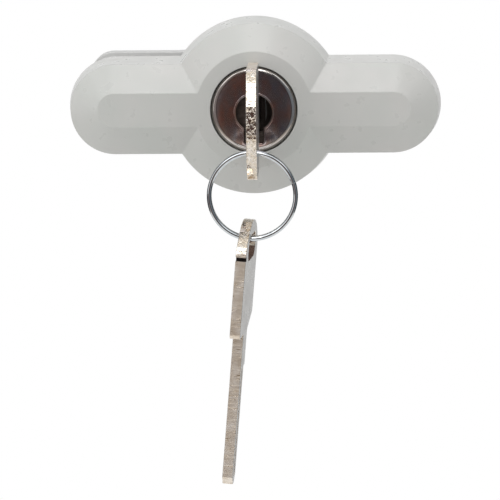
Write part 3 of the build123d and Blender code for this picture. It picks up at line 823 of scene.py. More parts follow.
def wing_handle():
    """The moulded cap: outer skin, rim, inner skin, barrel boss, screw posts and ribs."""
    edge_y = handle_face + bevel_depth
    outer = rounded(
        [(hub_flat_r - flat_margin, handle_face), (hub_flat_r, handle_face), (hub_edge_r, edge_y),
         (hub_edge_r + witness_step, edge_y + witness_line),
         (hub_edge_r - witness_line, edge_y + witness_groove),
         (hub_edge_r + witness_proud, edge_y + witness_end),
         (hub_edge_r + skirt_draft, handle_back), (hub_edge_r + skirt_draft - handle_wall, handle_back)],
        [0, flat_rounding, bevel_rounding, 0, 0, 0, rim_edge_rounding, 0], closed=False)
    slope = atan2(bevel_depth, hub_bevel)
    inner_edge_y = edge_y + handle_wall * (1 - sin(slope)) / cos(slope)
    ceiling_y = handle_face + handle_wall
    ceiling_r = hub_flat_r - handle_wall * (1 / cos(slope) - 1) / tan(slope)
    inner = rounded(
        [(hub_edge_r + skirt_draft - handle_wall, handle_back), (hub_edge_r - handle_wall, inner_edge_y),
         (ceiling_r, ceiling_y), (ceiling_r - ceiling_margin, ceiling_y)],
        [0, inner_rounding, inner_rounding, 0], closed=False)
    mesh = bmesh.new()
    rows = [handle_row(r, y, hub_corner_r) for r, y in outer]
    rows += [handle_row(r, y, hub_corner_r + handle_wall / 2) for r, y in inner[1:]]
    skirts = skin(mesh, rows)
    spindle_front = corners("spindle")[0].y
    recess_r = rim_r + recess_gap
    boss_r = recess_r + boss_wall
    floor_y = rim_high.y + seat_gap
    bore_r = corners("barrel_housing")[1].x - housing_step + recess_gap
    boss = rounded(
        [(boss_r, ceiling_y), (boss_r, spindle_front), (bore_r, spindle_front), (bore_r, floor_y),
         (recess_r, floor_y), (recess_r, handle_face), (recess_r + flat_margin, handle_face)],
        [0, boss_rounding, bore_rounding, 0, 0, recess_rounding, 0], closed=False)
    barrel = skin(mesh, [circle_row(r, y) for r, y in boss])
    cap(mesh, skirts[0], barrel[-1])
    cap(mesh, skirts[-1], barrel[0])
    handle = object_from("wing_handle_cap", mesh)
    inside = bmesh.new()
    rib_back = spindle_front - rib_set_back
    flat_reach = hub_flat_r + reach_step_flat
    end_reach = handle_high.x - handle_wall - rib_root
    for side in (-1, 1):
        ends = [(side * (recess_r + flat_margin), ceiling_y - rib_root),
                (side * (flat_reach - rib_slope_start), ceiling_y - rib_root),
                (side * end_reach, inner_edge_y + rib_slope_root), (side * end_reach, rib_back),
                (side * (recess_r + flat_margin), rib_back)]
        plate(inside, [Vector(p) for p in ends], [], [(-rib_thick / 2, 0), (rib_thick / 2, 0)], facing_up)
    combine(handle, inside, "UNION")
    reach = hub_edge_r - wing_step_edge - handle_wall + cross_rib_root
    for side in (-1, 1):
        for i in range(cross_ribs):
            cross = bmesh.new()
            x = side * (hub_edge_r + rib_pitch * (i + 0.5))
            box_in(cross, (x - rib_thick / 2, ceiling_y + rib_slope_root, -reach),
                   (x + rib_thick / 2, rib_back, reach))
            combine(handle, cross, "UNION")
    posts = bmesh.new()
    bores = bmesh.new()
    for angle in post_angles:
        x = post_circle_r * cos(radians(angle))
        z = post_circle_r * sin(radians(angle))
        rod_in(posts, post_r, ceiling_y + post_root, spindle_front, x, z)
        rod_in(bores, post_bore_r, spindle_front - post_bore_depth, spindle_front + cut_over, x, z)
    combine(handle, posts, "UNION")
    combine(handle, bores, "DIFFERENCE")
    show(handle, [abs_grey], "handle", "wing_handle", sharp=32)


def cap_level(radius):
    """The domed chrome cap's level at a radius, the same for its rim and for the plug's face."""
    return cap_top + cap_dome * (radius / cover_r) ** cap_power


def barrel_rim():
    """The rolled rim of the barrel's chrome cap: the plug's dome goes on into its rounded edge."""
    back = rim_high.y
    start = cap_level(rim_inner_r)
    turned = [(rim_inner_r, rim_low.y + rim_lip), (rim_inner_r, start + rim_joint_bevel),
              (rim_inner_r + rim_joint_inset, start)]
    for i in range(1, rim_roll_steps + 1):
        radius = rim_inner_r + (rim_roll_end_r - rim_inner_r) * i / rim_roll_steps
        share = (radius - rim_inner_r) / (rim_r - rim_inner_r)
        turned.append((radius, start + rim_roll_slope * share + rim_roll_drop * share**rim_roll_power))
    turned += [(rim_r, start + rim_edge_drop), (rim_r, back), (rim_r - rim_wall, back),
               (rim_r - rim_wall, rim_low.y + rim_lip)]
    mesh = bmesh.new()
    lathe(mesh, turned, RIM)
    show(object_from("barrel_rim_bead", mesh), [chrome], "handle", "barrel_rim", sharp=50)


def keyhole_loop(radius, width, reach, steps=56):
    """A round keyhole with a square notch below, anticlockwise, as (x, z)."""
    half = width / 2
    start = -pi / 2 + asin(half / radius)
    arc = [start + (2 * pi - 2 * asin(half / radius)) * i / steps for i in range(steps + 1)]
    loop = [Vector((radius * cos(t), radius * sin(t))) for t in arc]
    foot = [Vector(p) for p in rounded([(-half, -radius), (-half, -reach), (half, -reach), (half, -radius)],
                                       [0, notch_rounding, notch_rounding, 0], closed=False)]
    return [point + Vector((0, -keyhole_drop)) for point in loop + foot[1:-1]]


def plug_cover():
    """The plug's chrome face: a low dome, cut by the keyhole, whose edge is rolled inwards."""
    back = cover_high.y
    edge = cap_level(cover_r)
    radii = [cover_r * i / dome_rings for i in range(1, dome_rings)]
    dome = [(r, cap_level(r)) for r in radii]
    dome += [(cover_r - rim_joint_inset, edge), (cover_r, edge + rim_joint_bevel), (cover_r, back)]
    mesh = bmesh.new()
    closed_skin(mesh, [circle_row(r, y) for r, y in dome])
    face = object_from("plug_face", mesh)
    hole = keyhole_loop(keyhole_r, notch_width, cover_r - notch_wall - keyhole_drop)
    cut = bmesh.new()
    plate(cut, shifted(hole, -keyhole_edge / 2), [], [(cap_top - cut_over, 0), (back + cut_over, 0)])
    combine(face, cut, "DIFFERENCE")
    lip = bmesh.new()
    rows = []
    for inset, rise in lip_section:
        rows.append([(u, cap_level(hypot(u, v)) + rise, v) for u, v in shifted(hole, inset)])
    skin(lip, rows, wrap=True)
    combine(face, lip, "UNION")
    show(face, [smoked], "plug", "plug_cover", sharp=40)


def key_guide():
    """The guide inside the plug, beside the key: its edge, with a painted highlight, shows in the keyhole's
    right half.
    """
    front = cover_high.y + guide_front
    back = front + guide_back
    low = -pi / 2 + asin(notch_width / 2 / guide_outer_r)
    high = pi / 2 - asin(guide_gap / guide_outer_r)
    outer = [Vector(p) for p in arc_points(guide_outer_r, low, high, GUIDE)]
    inner = []
    for i in range(1, GUIDE):
        share = i / GUIDE
        bulge = 4 * guide_bulge * share * (1 - share)
        inner.append(outer[-1].lerp(outer[0], share) + Vector((bulge, 0)))
    mesh = bmesh.new()
    plate(mesh, outer + inner, [], break_levels(front, back, guide_rounding))
    guide = object_from("key_guide", mesh)
    bead = bmesh.new()
    rows = []
    for i, (u, v) in enumerate(inner):
        radius = bead_r * sqrt(sin(pi * (i + 1) / GUIDE))
        rows.append([(u + x, front - bead_proud + y, v) for x, y in arc_points(radius, 0, 2 * pi, BEAD)[:-1]])
    closed_skin(bead, rows)
    combine(guide, bead, "UNION")
    # The bead's faces take the pale finish whose colour paints its highlight
    chosen = []
    for polygon in guide.data.polygons:
        on_bead = polygon.center.y < front - bead_edge
        chosen.append(2 if on_bead else 1 if polygon.normal.y > guide_front_facing else 0)
    materials = [greased_zinc, plated_zinc, bead_highlight_finish]
    finish_piece(guide, materials, "plug", sharp=40, chosen=chosen)


def key_outline(nicked):
    """A flat key's outline, anticlockwise: u along it from the bow's end, v across it."""
    neck_u = bow_length + neck_length
    shoulder_u = key_length - tip_chamfer
    middle = (key_above - key_below) / 2
    half = (key_above + key_below) / 2
    side_u = bow_end_r - sqrt(bow_end_r**2 - half**2)
    corner_turn = asin(half / bow_end_r) - radians(bow_end_margin)
    points = [
        (bow_length - bow_slope_start, -key_below),
        (bow_length, -neck_below), (neck_u, -neck_below), (neck_u, -blade_half_width),
        (shoulder_u, -blade_half_width), (key_length, -tip_flat / 2), (key_length, tip_flat / 2),
        (shoulder_u, blade_half_width), (bow_length, blade_half_width), (bow_length, key_above),
    ]
    tip = [tip_shoulder_rounding, tip_rounding, tip_rounding, tip_shoulder_rounding]
    radii = [bow_shoulder_rounding] + [neck_rounding] * 3 + tip + [neck_rounding, bow_shoulder_rounding]
    nick = []
    if nicked:
        nick = [(nick_u + nick_half, 0), (nick_u + nick_half, -nick_depth), (nick_u - nick_half, -nick_depth),
                (nick_u - nick_half, 0)]
    points += [(u, key_above + v) for u, v in nick]
    points += [(side_u, key_above)]
    end = arc_points(bow_end_r, pi - corner_turn, pi + corner_turn, BOW_END, bow_end_r, middle)[1:-1]
    radii += [0] * len(nick) + [bow_corner_rounding] + [0] * len(end)
    return rounded(points + end + [(side_u, -key_below)], radii + [bow_corner_rounding])


def cutter_marks(loop, seed):
    """The outline cut into short steps, each left a little deep by the cutter."""
    rough = random.Random(seed)
    out = []
    for i, here in enumerate(loop):
        ahead = loop[(i + 1) % len(loop)]
        pieces = max(1, round((ahead - here).length / cutter_step))
        out += [here.lerp(ahead, k / pieces) for k in range(pieces)]
    return [point + (out[i - 1] - out[(i + 1) % len(out)]).orthogonal().normalized()
            * rough.uniform(-cutter_depth, 0.0) for i, point in enumerate(out)]


def key_hole():
    """The ring hole across the bow: a slot with round ends."""
    radius = key_hole_height / 2
    middle_u = key_hole_web + radius
    loop = arc_points(radius, 0, pi, SLOT_END, middle_u, key_hole_above - radius)
    loop += arc_points(radius, pi, 2 * pi, SLOT_END, middle_u, radius - key_hole_below)
    return [Vector(p) for p in loop]


def key_surface(polygon, nicked):
    """Which of the key's materials a face has: rolled, sawn, ground, or painted shade in the nick and on the
    hole's walls that face the bow's end.
    """
    along, across = polygon.center.y, polygon.center.z
    if abs(polygon.normal.x) > side_facing:
        return 0
    # Faces in the saw nick get painted shade
    beside_nick = abs(along - nick_u) < nick_half + nick_margin
    if nicked and beside_nick and 2 * nick_margin < key_above - across < nick_depth + 2 * nick_margin:
        return 3
    in_hole = -key_hole_below - hole_margin < across < key_hole_above + hole_margin
    in_hole = in_hole and key_hole_web - hole_margin < along < bow_length / 2
    if in_hole:
        # Hole walls that face the bow's end get painted shade; the others are ground
        return 4 if polygon.normal.y < hole_facing else 2
    at_end = polygon.normal.y < end_facing and along < bow_end_r / 2
    return 2 if at_end else 1


def key_piece(name, place, body, node, seed, nicked=False):
    """A flat key with broken edges, a slotted bow and a grooved blade; place is its matrix."""
    mesh = bmesh.new()
    levels = break_levels(-key_half_thick, key_half_thick, key_edge_break, key_break_steps)
    plate(mesh, cutter_marks(key_outline(nicked), seed), [key_hole()], levels, facing_side)
    key = object_from(name, mesh)
    grooves = bmesh.new()
    half = blade_groove_width / 2
    start = bow_length + neck_length
    for side in (-1, 1):
        depths = sorted((side * (key_half_thick - blade_groove_depth), side * (key_half_thick + cut_over)))
        loop = rounded([(start, half), (start, -half), (key_length - tip_chamfer, -half),
                        (key_length - tip_chamfer, half)], [blade_groove_rounding] * 4)
        plate(grooves, loop, [], [(depth, 0) for depth in depths], facing_side)
    combine(key, grooves, "DIFFERENCE")
    chosen = [key_surface(polygon, nicked) for polygon in key.data.polygons]
    key.data.transform(place)
    materials = [key_face, key_edge, key_end, key_nick_shade, key_hole_shade]
    show(key, materials, body, node, sharp=9, chosen=chosen)


def inserted_key():
    """The key that stands in the cylinder."""
    key_piece("key_in_lock", Matrix.Translation((0, key_low.y, 0)), "key", "inserted_key", seed=5)


def spare_key():
    """The second key, which hangs a little askew on the ring."""
    pivot = joint_point("spare_key_swing")
    place = Matrix.Translation((-spare_side_step, pivot.y, pivot.z))
    place = place @ Matrix.Rotation(radians(spare_lean), 4, "Y")
    place = place @ Matrix.Rotation(-radians(spare_twist), 4, "Z")
    place = place @ Matrix.Translation((0, 0, spare_hang))
    place = place @ Matrix.Rotation(-pi / 2, 4, "X") @ Matrix.Rotation(pi, 4, "Y")
    key_piece("key_on_ring", place, "spare", "spare_key", seed=8, nicked=True)


def split_ring():
    """Two close turns of round wire with cut ends."""
    centre = Vector((0, (ring_low.y + ring_high.y) / 2, (ring_low.z + ring_high.z) / 2))
    side = Vector((0, 1, 0))
    count = ceil(ring_turns * RING_TURN)
    mesh = bmesh.new()
    rows = []
    for i in range(count + 1):
        turned = ring_turns * i / count
        angle = radians(ring_end_angle) + 2 * pi * turned
        out = Vector((cos(angle), 0, sin(angle)))
        along = Vector((-sin(angle), 0, cos(angle)))
        middle = centre + out * ring_mean_r + side * ring_pitch * (turned - ring_turns / 2)
        rows.append([middle + out * u + side * v for u, v in arc_points(ring_wire_r, 0, 2 * pi, RING)[:-1]])
        if i in (0, count):
            way = -1 if i == 0 else 1
            end = middle + along * way * ring_end_length
            small = [end + (point - middle) * ring_end_share for point in rows[-1]]
            rows.insert(0 if i == 0 else len(rows), small)
    closed_skin(mesh, rows)
    show(object_from("split_ring", mesh), [ring_wire], "ring", "key_ring", sharp=50)


def tongue_outline():
    """The tongue's arm and hub: half the loop is worked out, and the other mirrors it."""
    half = tongue_half
    fillet = tongue_hub_fillet
    corner = tongue_corner_r
    centre = sqrt((tongue_hub_r + fillet) ** 2 - (half + fillet) ** 2)
    meet = atan2(half + fillet, centre)
    top = arc_points(corner, pi, pi / 2, SMALL, tongue_low.x + corner, half - corner)
    top += arc_points(fillet, -pi / 2, -meet, SMALL, -centre, half + fillet)
    top += arc_points(tongue_hub_r, pi - meet, 0, 2 * QUARTER)[1:]
    loop = top + [(x, -z) for x, z in top[-2::-1]]
    return [Vector(p) for p in loop[::-1]]


def closing_tongue():
    """The moulded tongue: rounded arm with two pockets behind, and a hub that stands proud in front."""
    front, back = tongue_low.y + tongue_hub_step, tongue_high.y
    mesh = bmesh.new()
    plate(mesh, tongue_outline(), [], break_levels(front, back, tongue_rounding))
    tongue = object_from("closing_tongue_plate", mesh)
    hub = bmesh.new()
    closed_skin(hub, [circle_row(tongue_hub_r - tongue_rounding, tongue_low.y),
                      circle_row(tongue_hub_r, tongue_low.y + tongue_rounding),
                      circle_row(tongue_hub_r, front + 2 * tongue_hub_step)])
    combine(tongue, hub, "UNION")
    cuts = bmesh.new()
    side = tongue_hole / 2
    box_in(cuts, (-side, tongue_low.y - cut_over, -side), (side, back + cut_over, side))
    pocket_half = (2 * tongue_half - 3 * tongue_pocket_wall) / 4
    for way in (-1, 1):
        z = way * (pocket_half + tongue_pocket_wall / 2)
        left = tongue_low.x + tongue_corner_r
        right = -tongue_hub_r - tongue_pocket_wall
        loop = rounded([(left, z - pocket_half), (right, z - pocket_half), (right, z + pocket_half),
                        (left, z + pocket_half)], [pocket_rounding] * 4)
        plate(cuts, loop, [], [(back - tongue_pocket_depth, pocket_draft), (back + cut_over, 0)])
    combine(tongue, cuts, "DIFFERENCE")
    show(tongue, [polyamide_grey], "handle", "closing_tongue", sharp=32)


def thread_rows(y0, y1):
    """Rows of a helical thread: each follows the helix, and rows beyond an end lie on its chamfer."""
    root_r = neck_r - thread_depth
    root_middle = (1 + thread_crest) / 2
    profile = [(0.0, neck_r), (thread_crest, neck_r), (root_middle - thread_root / 2, root_r),
               (root_middle + thread_root / 2, root_r)]
    rows = []
    first = int(y0 / thread_pitch) - 2
    for turn in range(first, ceil(y1 / thread_pitch) + 2):
        for share, radius in profile:
            row = []
            for i in range(FINE):
                angle = 2 * pi * i / FINE
                y = (turn + share + i / FINE) * thread_pitch
                inside = min(max(y, y0), y1)
                there = min(radius, root_r + min(inside - y0, y1 - inside))
                row.append((there * cos(angle), inside, there * sin(angle)))
            rows.append(row)
    return rows


def keeper_cuts(mesh, neck_back):
    """The neck's two notches, above and on the right, that the locking bolt slides into."""
    half = bolt_high.x + keeper_side_gap
    keeper_r = bolt_high.z + bolt_travel + keeper_spare
    lean = asin(half / keeper_r)
    for middle in (pi / 2, 0):
        outline = [Vector(p) for p in arc_points(keeper_r, middle - lean, middle + lean, COARSE)]
        across = Vector((-sin(middle), cos(middle))) * half
        inside = Vector((cos(middle), sin(middle))) * neck_bore_r / 2
        plate(mesh, outline + [inside + across, inside - across], [],
              [(bolt_low.y - keeper_front_gap, 0), (neck_back + cut_over, 0)])


def mounting_base():
    """The moulded base: flange with its stop groove, undercut, threaded neck and two locating pegs."""
    front = base_low.y
    flange_back = gasket_low.y
    flange_r = base_high.x
    neck_back = base_high.y
    root_r = neck_r - thread_depth
    mesh = bmesh.new()
    undercut_r = neck_r - undercut_depth
    head = rounded(
        [(neck_bore_r, front + bore_chamfer), (neck_bore_r + bore_chamfer, front), (flange_r, front),
         (flange_r, flange_back), (undercut_r, flange_back), (undercut_r, thread_start),
         (root_r, thread_start)],
        [0, 0, flange_front_rounding, flange_back_rounding, 0, 0, 0], closed=False)
    rows = [circle_row(r, y) for r, y in head]
    rows += thread_rows(thread_start, neck_back)
    rows += [circle_row(root_r, neck_back), circle_row(neck_bore_r + neck_chamfer, neck_back),
             circle_row(neck_bore_r, neck_back - neck_chamfer)]
    skin(mesh, rows, wrap=True)
    base = object_from("threaded_base", mesh)
    pegs = bmesh.new()
    peg = rounded(
        [(peg_shoulder_r, flange_back - peg_root), (peg_shoulder_r, 0.0), (peg_r, 0.0), (peg_r, peg_length),
         (peg_tip_r, peg_length)],
        [0, peg_step_rounding, peg_foot_rounding, peg_tip_rounding, 0], closed=False)
    for side in (-1, 1):
        x = side * peg_circle_r
        closed_skin(pegs, [circle_row(r, y, QUARTER, x) for r, y in peg])
    combine(base, pegs, "UNION")
    cuts = bmesh.new()
    keeper_cuts(cuts, neck_back)
    start, end = radians(stop_groove_start), radians(stop_groove_end)
    outline = arc_points(post_circle_r + stop_groove_width / 2, start, end, COARSE)
    outline += arc_points(post_circle_r - stop_groove_width / 2, end, start, COARSE)
    plate(cuts, [Vector(p) for p in outline], [], [(front - cut_over, 0), (front + stop_groove_depth, 0)])
    combine(base, cuts, "DIFFERENCE")
    show(base, [polyamide_black], "base", "mounting_base", sharp=30)


def turned_ring(name, profile, radii, material, body, node, steps=FINE):
    """A ring with broken edges in place of one CAD node."""
    mesh = bmesh.new()
    lathe(mesh, rounded(profile, radii), steps)
    show(object_from(name, mesh), [material], body, node)


def door_gasket():
    """The rubber seal, with a soft lip round its outer edge."""
    front, back = gasket_low.y, gasket_high.y
    outer = gasket_high.x
    inner = neck_r - undercut_depth + gasket_gap
    groove_y = back - gasket_groove_depth
    groove_outer = outer - gasket_lip
    groove_inner = inner + gasket_lip
    profile = [(outer, front), (outer, back), (groove_outer, back), (groove_outer - gasket_slope, groove_y),
               (groove_inner, groove_y), (groove_inner - gasket_slope, back), (inner, back), (inner, front)]
    radii = [gasket_rounding, gasket_rounding, 0, 0, 0, 0, gasket_inner_rounding, gasket_inner_rounding]
    turned_ring("door_gasket_ring", profile, radii, rubber, "base", "door_gasket")


def toothed_washer():
    """External teeth, each twisted so that its corners bite."""
    front, back = washer_low.y, washer_high.y
    root_r = washer_high.z - washer_tooth_depth
    middle = (front + back) / 2
    bore_r = neck_r + washer_gap
    steps = washer_teeth * washer_steps_per_tooth
    mesh = bmesh.new()
    sections = []
    for i in range(steps):
        angle = 2 * pi * i / steps
        from_middle = (i % washer_steps_per_tooth) / (washer_steps_per_tooth - 1) - 0.5
        on_tooth = abs(from_middle) < washer_tooth_share
        tip = washer_high.z if on_tooth else root_r
        level = middle + (washer_tooth_twist * from_middle if on_tooth else 0)
        tip_front = max(level - washer_tooth_half_thick, front)
        tip_back = min(level + washer_tooth_half_thick, back)
        shape = [(bore_r, front), (root_r - washer_tooth_root, front), (tip, tip_front), (tip, tip_back),
                 (root_r - washer_tooth_root, back), (bore_r, back)]
        sections.append([(r * cos(angle), y, r * sin(angle)) for r, y in shape])
    skin(mesh, list(zip(*sections)), wrap=True)
    show(object_from("tooth_lock_washer", mesh), [plated_zinc], "base", "toothed_washer")


def hex_rows(flats, corner_r, levels):
    """Rows of a hexagon whose corners are turned down: levels are (y, largest radius)."""
    rows = []
    for y, limit in levels:
        row = []
        for i in range(HEXAGON):
            angle = 2 * pi * i / HEXAGON
            off = (angle % (pi / 3)) - pi / 6
            radius = min(flats / 2 / cos(off), corner_r, limit)
            row.append((radius * cos(angle), y, radius * sin(angle)))
        rows.append(row)
    return rows


def chamfer_levels(front, back, flats, corner_r, at_front=True):
    """Levels of a hexagon with turned chamfers at its ends."""
    inside = flats / 2 - nut_chamfer_inset
    width = corner_r - inside
    depth = width * tan(radians(nut_chamfer_angle))
    shares = [k / nut_chamfer_steps for k in range(nut_chamfer_steps + 1)]
    fore = [(front + depth * share, inside + width * share) for share in shares]
    aft = [(back - depth * share, inside + width * share) for share in shares[::-1]]
    return (fore if at_front else [(front, corner_r)]) + aft


def mounting_nut():
    """The moulded hexagon nut: ring grooves in its bore stand for the thread."""
    front, back = nut_low.y, nut_high.y
    flats = 2 * nut_high.z
    corner_r = nut_high.x - nut_corner_rounding
    crest_r = neck_r + nut_thread_gap
    mesh = bmesh.new()
    rows = hex_rows(flats, corner_r, chamfer_levels(front, back, flats, corner_r))
    turns = int((back - front) / thread_pitch)
    bore = [(neck_r + nut_mouth, back), (crest_r, back - nut_lead_in)]
    root_r = neck_r + nut_thread_depth
    for i in range(turns):
        y = back - nut_lead_in - (i + 0.5) * (back - front - 2 * nut_lead_in) / turns
        bore += [(crest_r, y + nut_thread_half), (root_r, y), (crest_r, y - nut_thread_half)]
    bore += [(crest_r, front + nut_lead_out), (neck_r + nut_mouth, front)]
    rows += [circle_row(r, y, HEXAGON) for r, y in bore]
    skin(mesh, rows, wrap=True)
    show(object_from("neck_nut", mesh), [polyamide_black], "base", "mounting_nut")


def tongue_plain_washer():
    """The flat washer behind the tongue."""
    low, high = tongue_washer_low, tongue_washer_high
    profile = [(high.x, low.y), (high.x, high.y), (screw_bore_r, high.y), (screw_bore_r, low.y)]
    radii = [washer_rounding, washer_rounding, washer_bore_rounding, washer_bore_rounding]
    turned_ring("tongue_plain_washer", profile, radii, plated_zinc, "handle",
                "tongue_washer")


def tongue_split_washer():
    """The spring washer: one turn that rises from end to end."""
    low, high = spring_washer_low, spring_washer_high
    rise = high.y - low.y - spring_washer_thick
    gap = radians(spring_washer_half_gap)
    rows = []
    for i in range(SPRING + 1):
        angle = gap + (2 * pi - 2 * gap) * i / SPRING
        y = low.y + rise * i / SPRING
        back = y + spring_washer_thick
        section = rounded([(high.z, y), (high.z, back), (screw_bore_r, back), (screw_bore_r, y)],
                          [spring_washer_rounding] * 4)
        rows.append([(r * cos(angle), v, r * sin(angle)) for r, v in section])
    mesh = bmesh.new()
    closed_skin(mesh, rows)
    show(object_from("tongue_split_washer", mesh), [plated_zinc], "handle",
         "tongue_spring_washer")


def tongue_hexagon_screw():
    """The hexagon screw that holds the tongue on its square, with a turned face under its head."""
    flats = 2 * screw_high.z
    corner_r = screw_high.x - screw_corner_rounding
    head_y = spring_washer_high.y
    face_y = head_y + screw_face_thick
    lathed = [(screw_tip_r, screw_low.y), (screw_r, screw_low.y + screw_r - screw_tip_r), (screw_r, head_y),
              (screw_face_r, head_y), (screw_face_r, face_y)]
    rows = [circle_row(r, y, HEXAGON) for r, y in lathed]
    rows += hex_rows(flats, corner_r, chamfer_levels(face_y, screw_high.y, flats, corner_r, at_front=False))
    rows += [circle_row(screw_dish_r, screw_high.y, HEXAGON),
             circle_row(screw_dish_floor_r, screw_high.y - screw_dish_depth, HEXAGON)]
    mesh = bmesh.new()
    closed_skin(mesh, rows)
    show(object_from("tongue_hexagon_screw", mesh), [plated_zinc], "handle",
         "tongue_screw")


def thrust_washer():
    """The acetal ring between neck and tongue."""
    low, high = thrust_low, thrust_high
    inner = neck_bore_r + thrust_gap
    profile = [(high.x, low.y), (high.x, high.y), (inner, high.y), (inner, low.y)]
    radii = [thrust_rounding, thrust_rounding, thrust_inner_rounding, thrust_inner_rounding]
    turned_ring("acetal_thrust_washer", profile, radii, acetal, "handle", "thrust_washer")


def dress_frame():
    """Finishes for the CAD pieces that stay: they lie inside, and some show through the keyhole."""
    finishes = {
        "spindle": cast_zinc, "barrel_housing": greased_zinc, "barrel_plug": greased_zinc,
        "spindle_screws": plated_zinc, "barrel_cross_pin": plated_zinc, "plug_retaining_pin": plated_zinc,
        "locking_bolt": plated_zinc, "spindle_o_ring": rubber,
    }
    for i in range(1, wafer_count + 1):
        finishes[f"wafer_{i}"] = brass
        finishes[f"wafer_spring_{i}"] = spring_wire
    for node, material in finishes.items():
        data = frame["nodes"][node].data
        data.materials.clear()
        data.materials.append(material)


wing_handle()
barrel_rim()
plug_cover()
key_guide()
inserted_key()
spare_key()
split_ring()
closing_tongue()
mounting_base()
door_gasket()
toothed_washer()
mounting_nut()
thrust_washer()
tongue_plain_washer()
tongue_split_washer()
tongue_hexagon_screw()
dress_frame()

# Camera, fitted to the photograph's outlines: the lens is for its square frame
view_azimuth = radians(1.48)
view_elevation = radians(7.9)
view_roll = radians(-0.52)
view_distance = 735.5
view_target = Vector((-1.19, handle_face, -33.25))
lens_px = 3109.0
frame_px = 500
sensor = 36.0
far_clip = 20


def camera():
    """The camera at the photograph's angle."""
    back = Vector((sin(view_azimuth) * cos(view_elevation), -cos(view_azimuth) * cos(view_elevation),
                   sin(view_elevation)))
    right = (-back).cross(Vector((0, 0, 1))).normalized()
    up = right.cross(-back)
    across = right * cos(view_roll) + up * sin(view_roll)
    upright = -right * sin(view_roll) + up * cos(view_roll)
    data = bpy.data.cameras.new("camera")
    data.sensor_width = sensor
    data.lens = lens_px * sensor / frame_px
    data.clip_end = far_clip
    obj = bpy.data.objects.new("camera", data)
    bpy.context.scene.collection.objects.link(obj)
    turn = Matrix((across, upright, back)).transposed().to_4x4()
    obj.matrix_world = Matrix.Translation((view_target + back * view_distance) * MM) @ turn
    bpy.context.scene.camera = obj


# Soft lights on a sphere round the lock, in metres and watts: azimuth 0 is in front, elevation 90 overhead
light_distance = 1.3
soft_lights = [
    # name, azimuth, elevation, width, height, watts, colour
    ("top_softbox", 0, 54, 0.5, 0.9, 3.8, "#ffffff"),
    ("upper_left_softbox", -50, 55, 0.8, 0.8, 2.2, "#ffffff"),
    ("left_fill", -60, 10, 0.8, 0.8, 1.6, "#ffffff"),
    ("left_front_fill", -38, 28, 0.5, 0.5, 0.8, "#ffffff"),
    ("right_front_fill", 38, 28, 0.5, 0.5, 0.6, "#ffffff"),
    ("edge_strip", 4, 31, 0.5, 0.08, 0.5, "#ffffff"),
    ("rear_top_softbox", 0, 120, 0.8, 0.8, 2.0, "#fbf8ff"),
]


def soft_light(name, azimuth, elevation, width, height, watts, colour):
    """A rectangular soft light that faces the lock."""
    data = bpy.data.lights.new(name, "AREA")
    data.shape = "RECTANGLE"
    data.size = width
    data.size_y = height
    data.energy = watts
    data.color = linear(colour)[:3]
    obj = bpy.data.objects.new(name, data)
    bpy.context.scene.collection.objects.link(obj)
    turn, rise = radians(azimuth), radians(elevation)
    obj.location = Vector((sin(turn) * cos(rise), -cos(turn) * cos(rise), sin(rise))) * light_distance
    obj.rotation_euler = (-obj.location).to_track_quat("-Z", "Y").to_euler()


# The room that the metal mirrors, by direction: X right, Y away from the camera, Z up, each 1 at most
ambient_strength = 0.56
lens_height = 0.08
dark_half_height = (0.38, 0.5)
dark_half_width = (0.22, 0.42)
side_blend = 0.12
patch_scale = 9.0
patch_share = 0.6
wall_middle = 0.2
wall_half_depth = (0.6, 0.75)
front_start = -0.35
front_full = -0.55
front_lean = -0.65


def within(tree, source, inner, outer):
    """1 where the source lies within inner of 0, fading to 0 at outer."""
    size = add(tree, "ShaderNodeMath", {"operation": "ABSOLUTE"}, {0: source}).outputs[0]
    settings = {"interpolation_type": "SMOOTHSTEP", 1: inner, 2: outer, 3: 1, 4: 0}
    return add(tree, "ShaderNodeMapRange", settings, {"Value": size}).outputs["Result"]


def room_in_front(tree, way, axes):
    """The dark end of the room round the lens with grey sides, white above and beige below."""
    over_lens = add(tree, "ShaderNodeMath", {"operation": "ADD", 1: -lens_height}, {0: axes["Z"]}).outputs[0]
    blended = {1: -side_blend, 2: side_blend, 3: 0.0, 4: 1.0}
    across = add(tree, "ShaderNodeMapRange", blended, {0: axes["X"]}).outputs[0]
    noise = {"Scale": patch_scale, "Detail": 2.0}
    patches = add(tree, "ShaderNodeTexNoise", noise, {"Vector": way}).outputs["Fac"]
    patched = add(tree, "ShaderNodeMapRange", middle_range | {4: patch_share}, {0: patches}).outputs[0]
    brown_to_blue = colour_mix | {6: linear("#5e4842"), 7: linear("#3b3d45")}
    plain = add(tree, "ShaderNodeMix", brown_to_blue, {0: across}).outputs[2]
    patchy = colour_mix | {7: linear("#6b5f5a")}
    lens_wall = add(tree, "ShaderNodeMix", patchy, {0: patched, 6: plain}).outputs[2]
    warm_to_cool = colour_mix | {6: linear("#8d8585"), 7: linear("#7d8389")}
    beside = add(tree, "ShaderNodeMix", warm_to_cool, {0: across}).outputs[2]
    ahead = within(tree, axes["X"], *dark_half_width)
    level_wall = add(tree, "ShaderNodeMix", colour_mix, {0: ahead, 6: beside, 7: lens_wall}).outputs[2]
    below = add(tree, "ShaderNodeMath", {"operation": "LESS_THAN", 1: 0.0}, {0: axes["Z"]}).outputs[0]
    white_to_beige = colour_mix | {6: linear("#ffffff"), 7: linear("#dbd2c7")}
    over_and_under = add(tree, "ShaderNodeMix", white_to_beige, {0: below}).outputs[2]
    level = within(tree, over_lens, *dark_half_height)
    return add(tree, "ShaderNodeMix", colour_mix, {0: level, 6: over_and_under, 7: level_wall}).outputs[2]


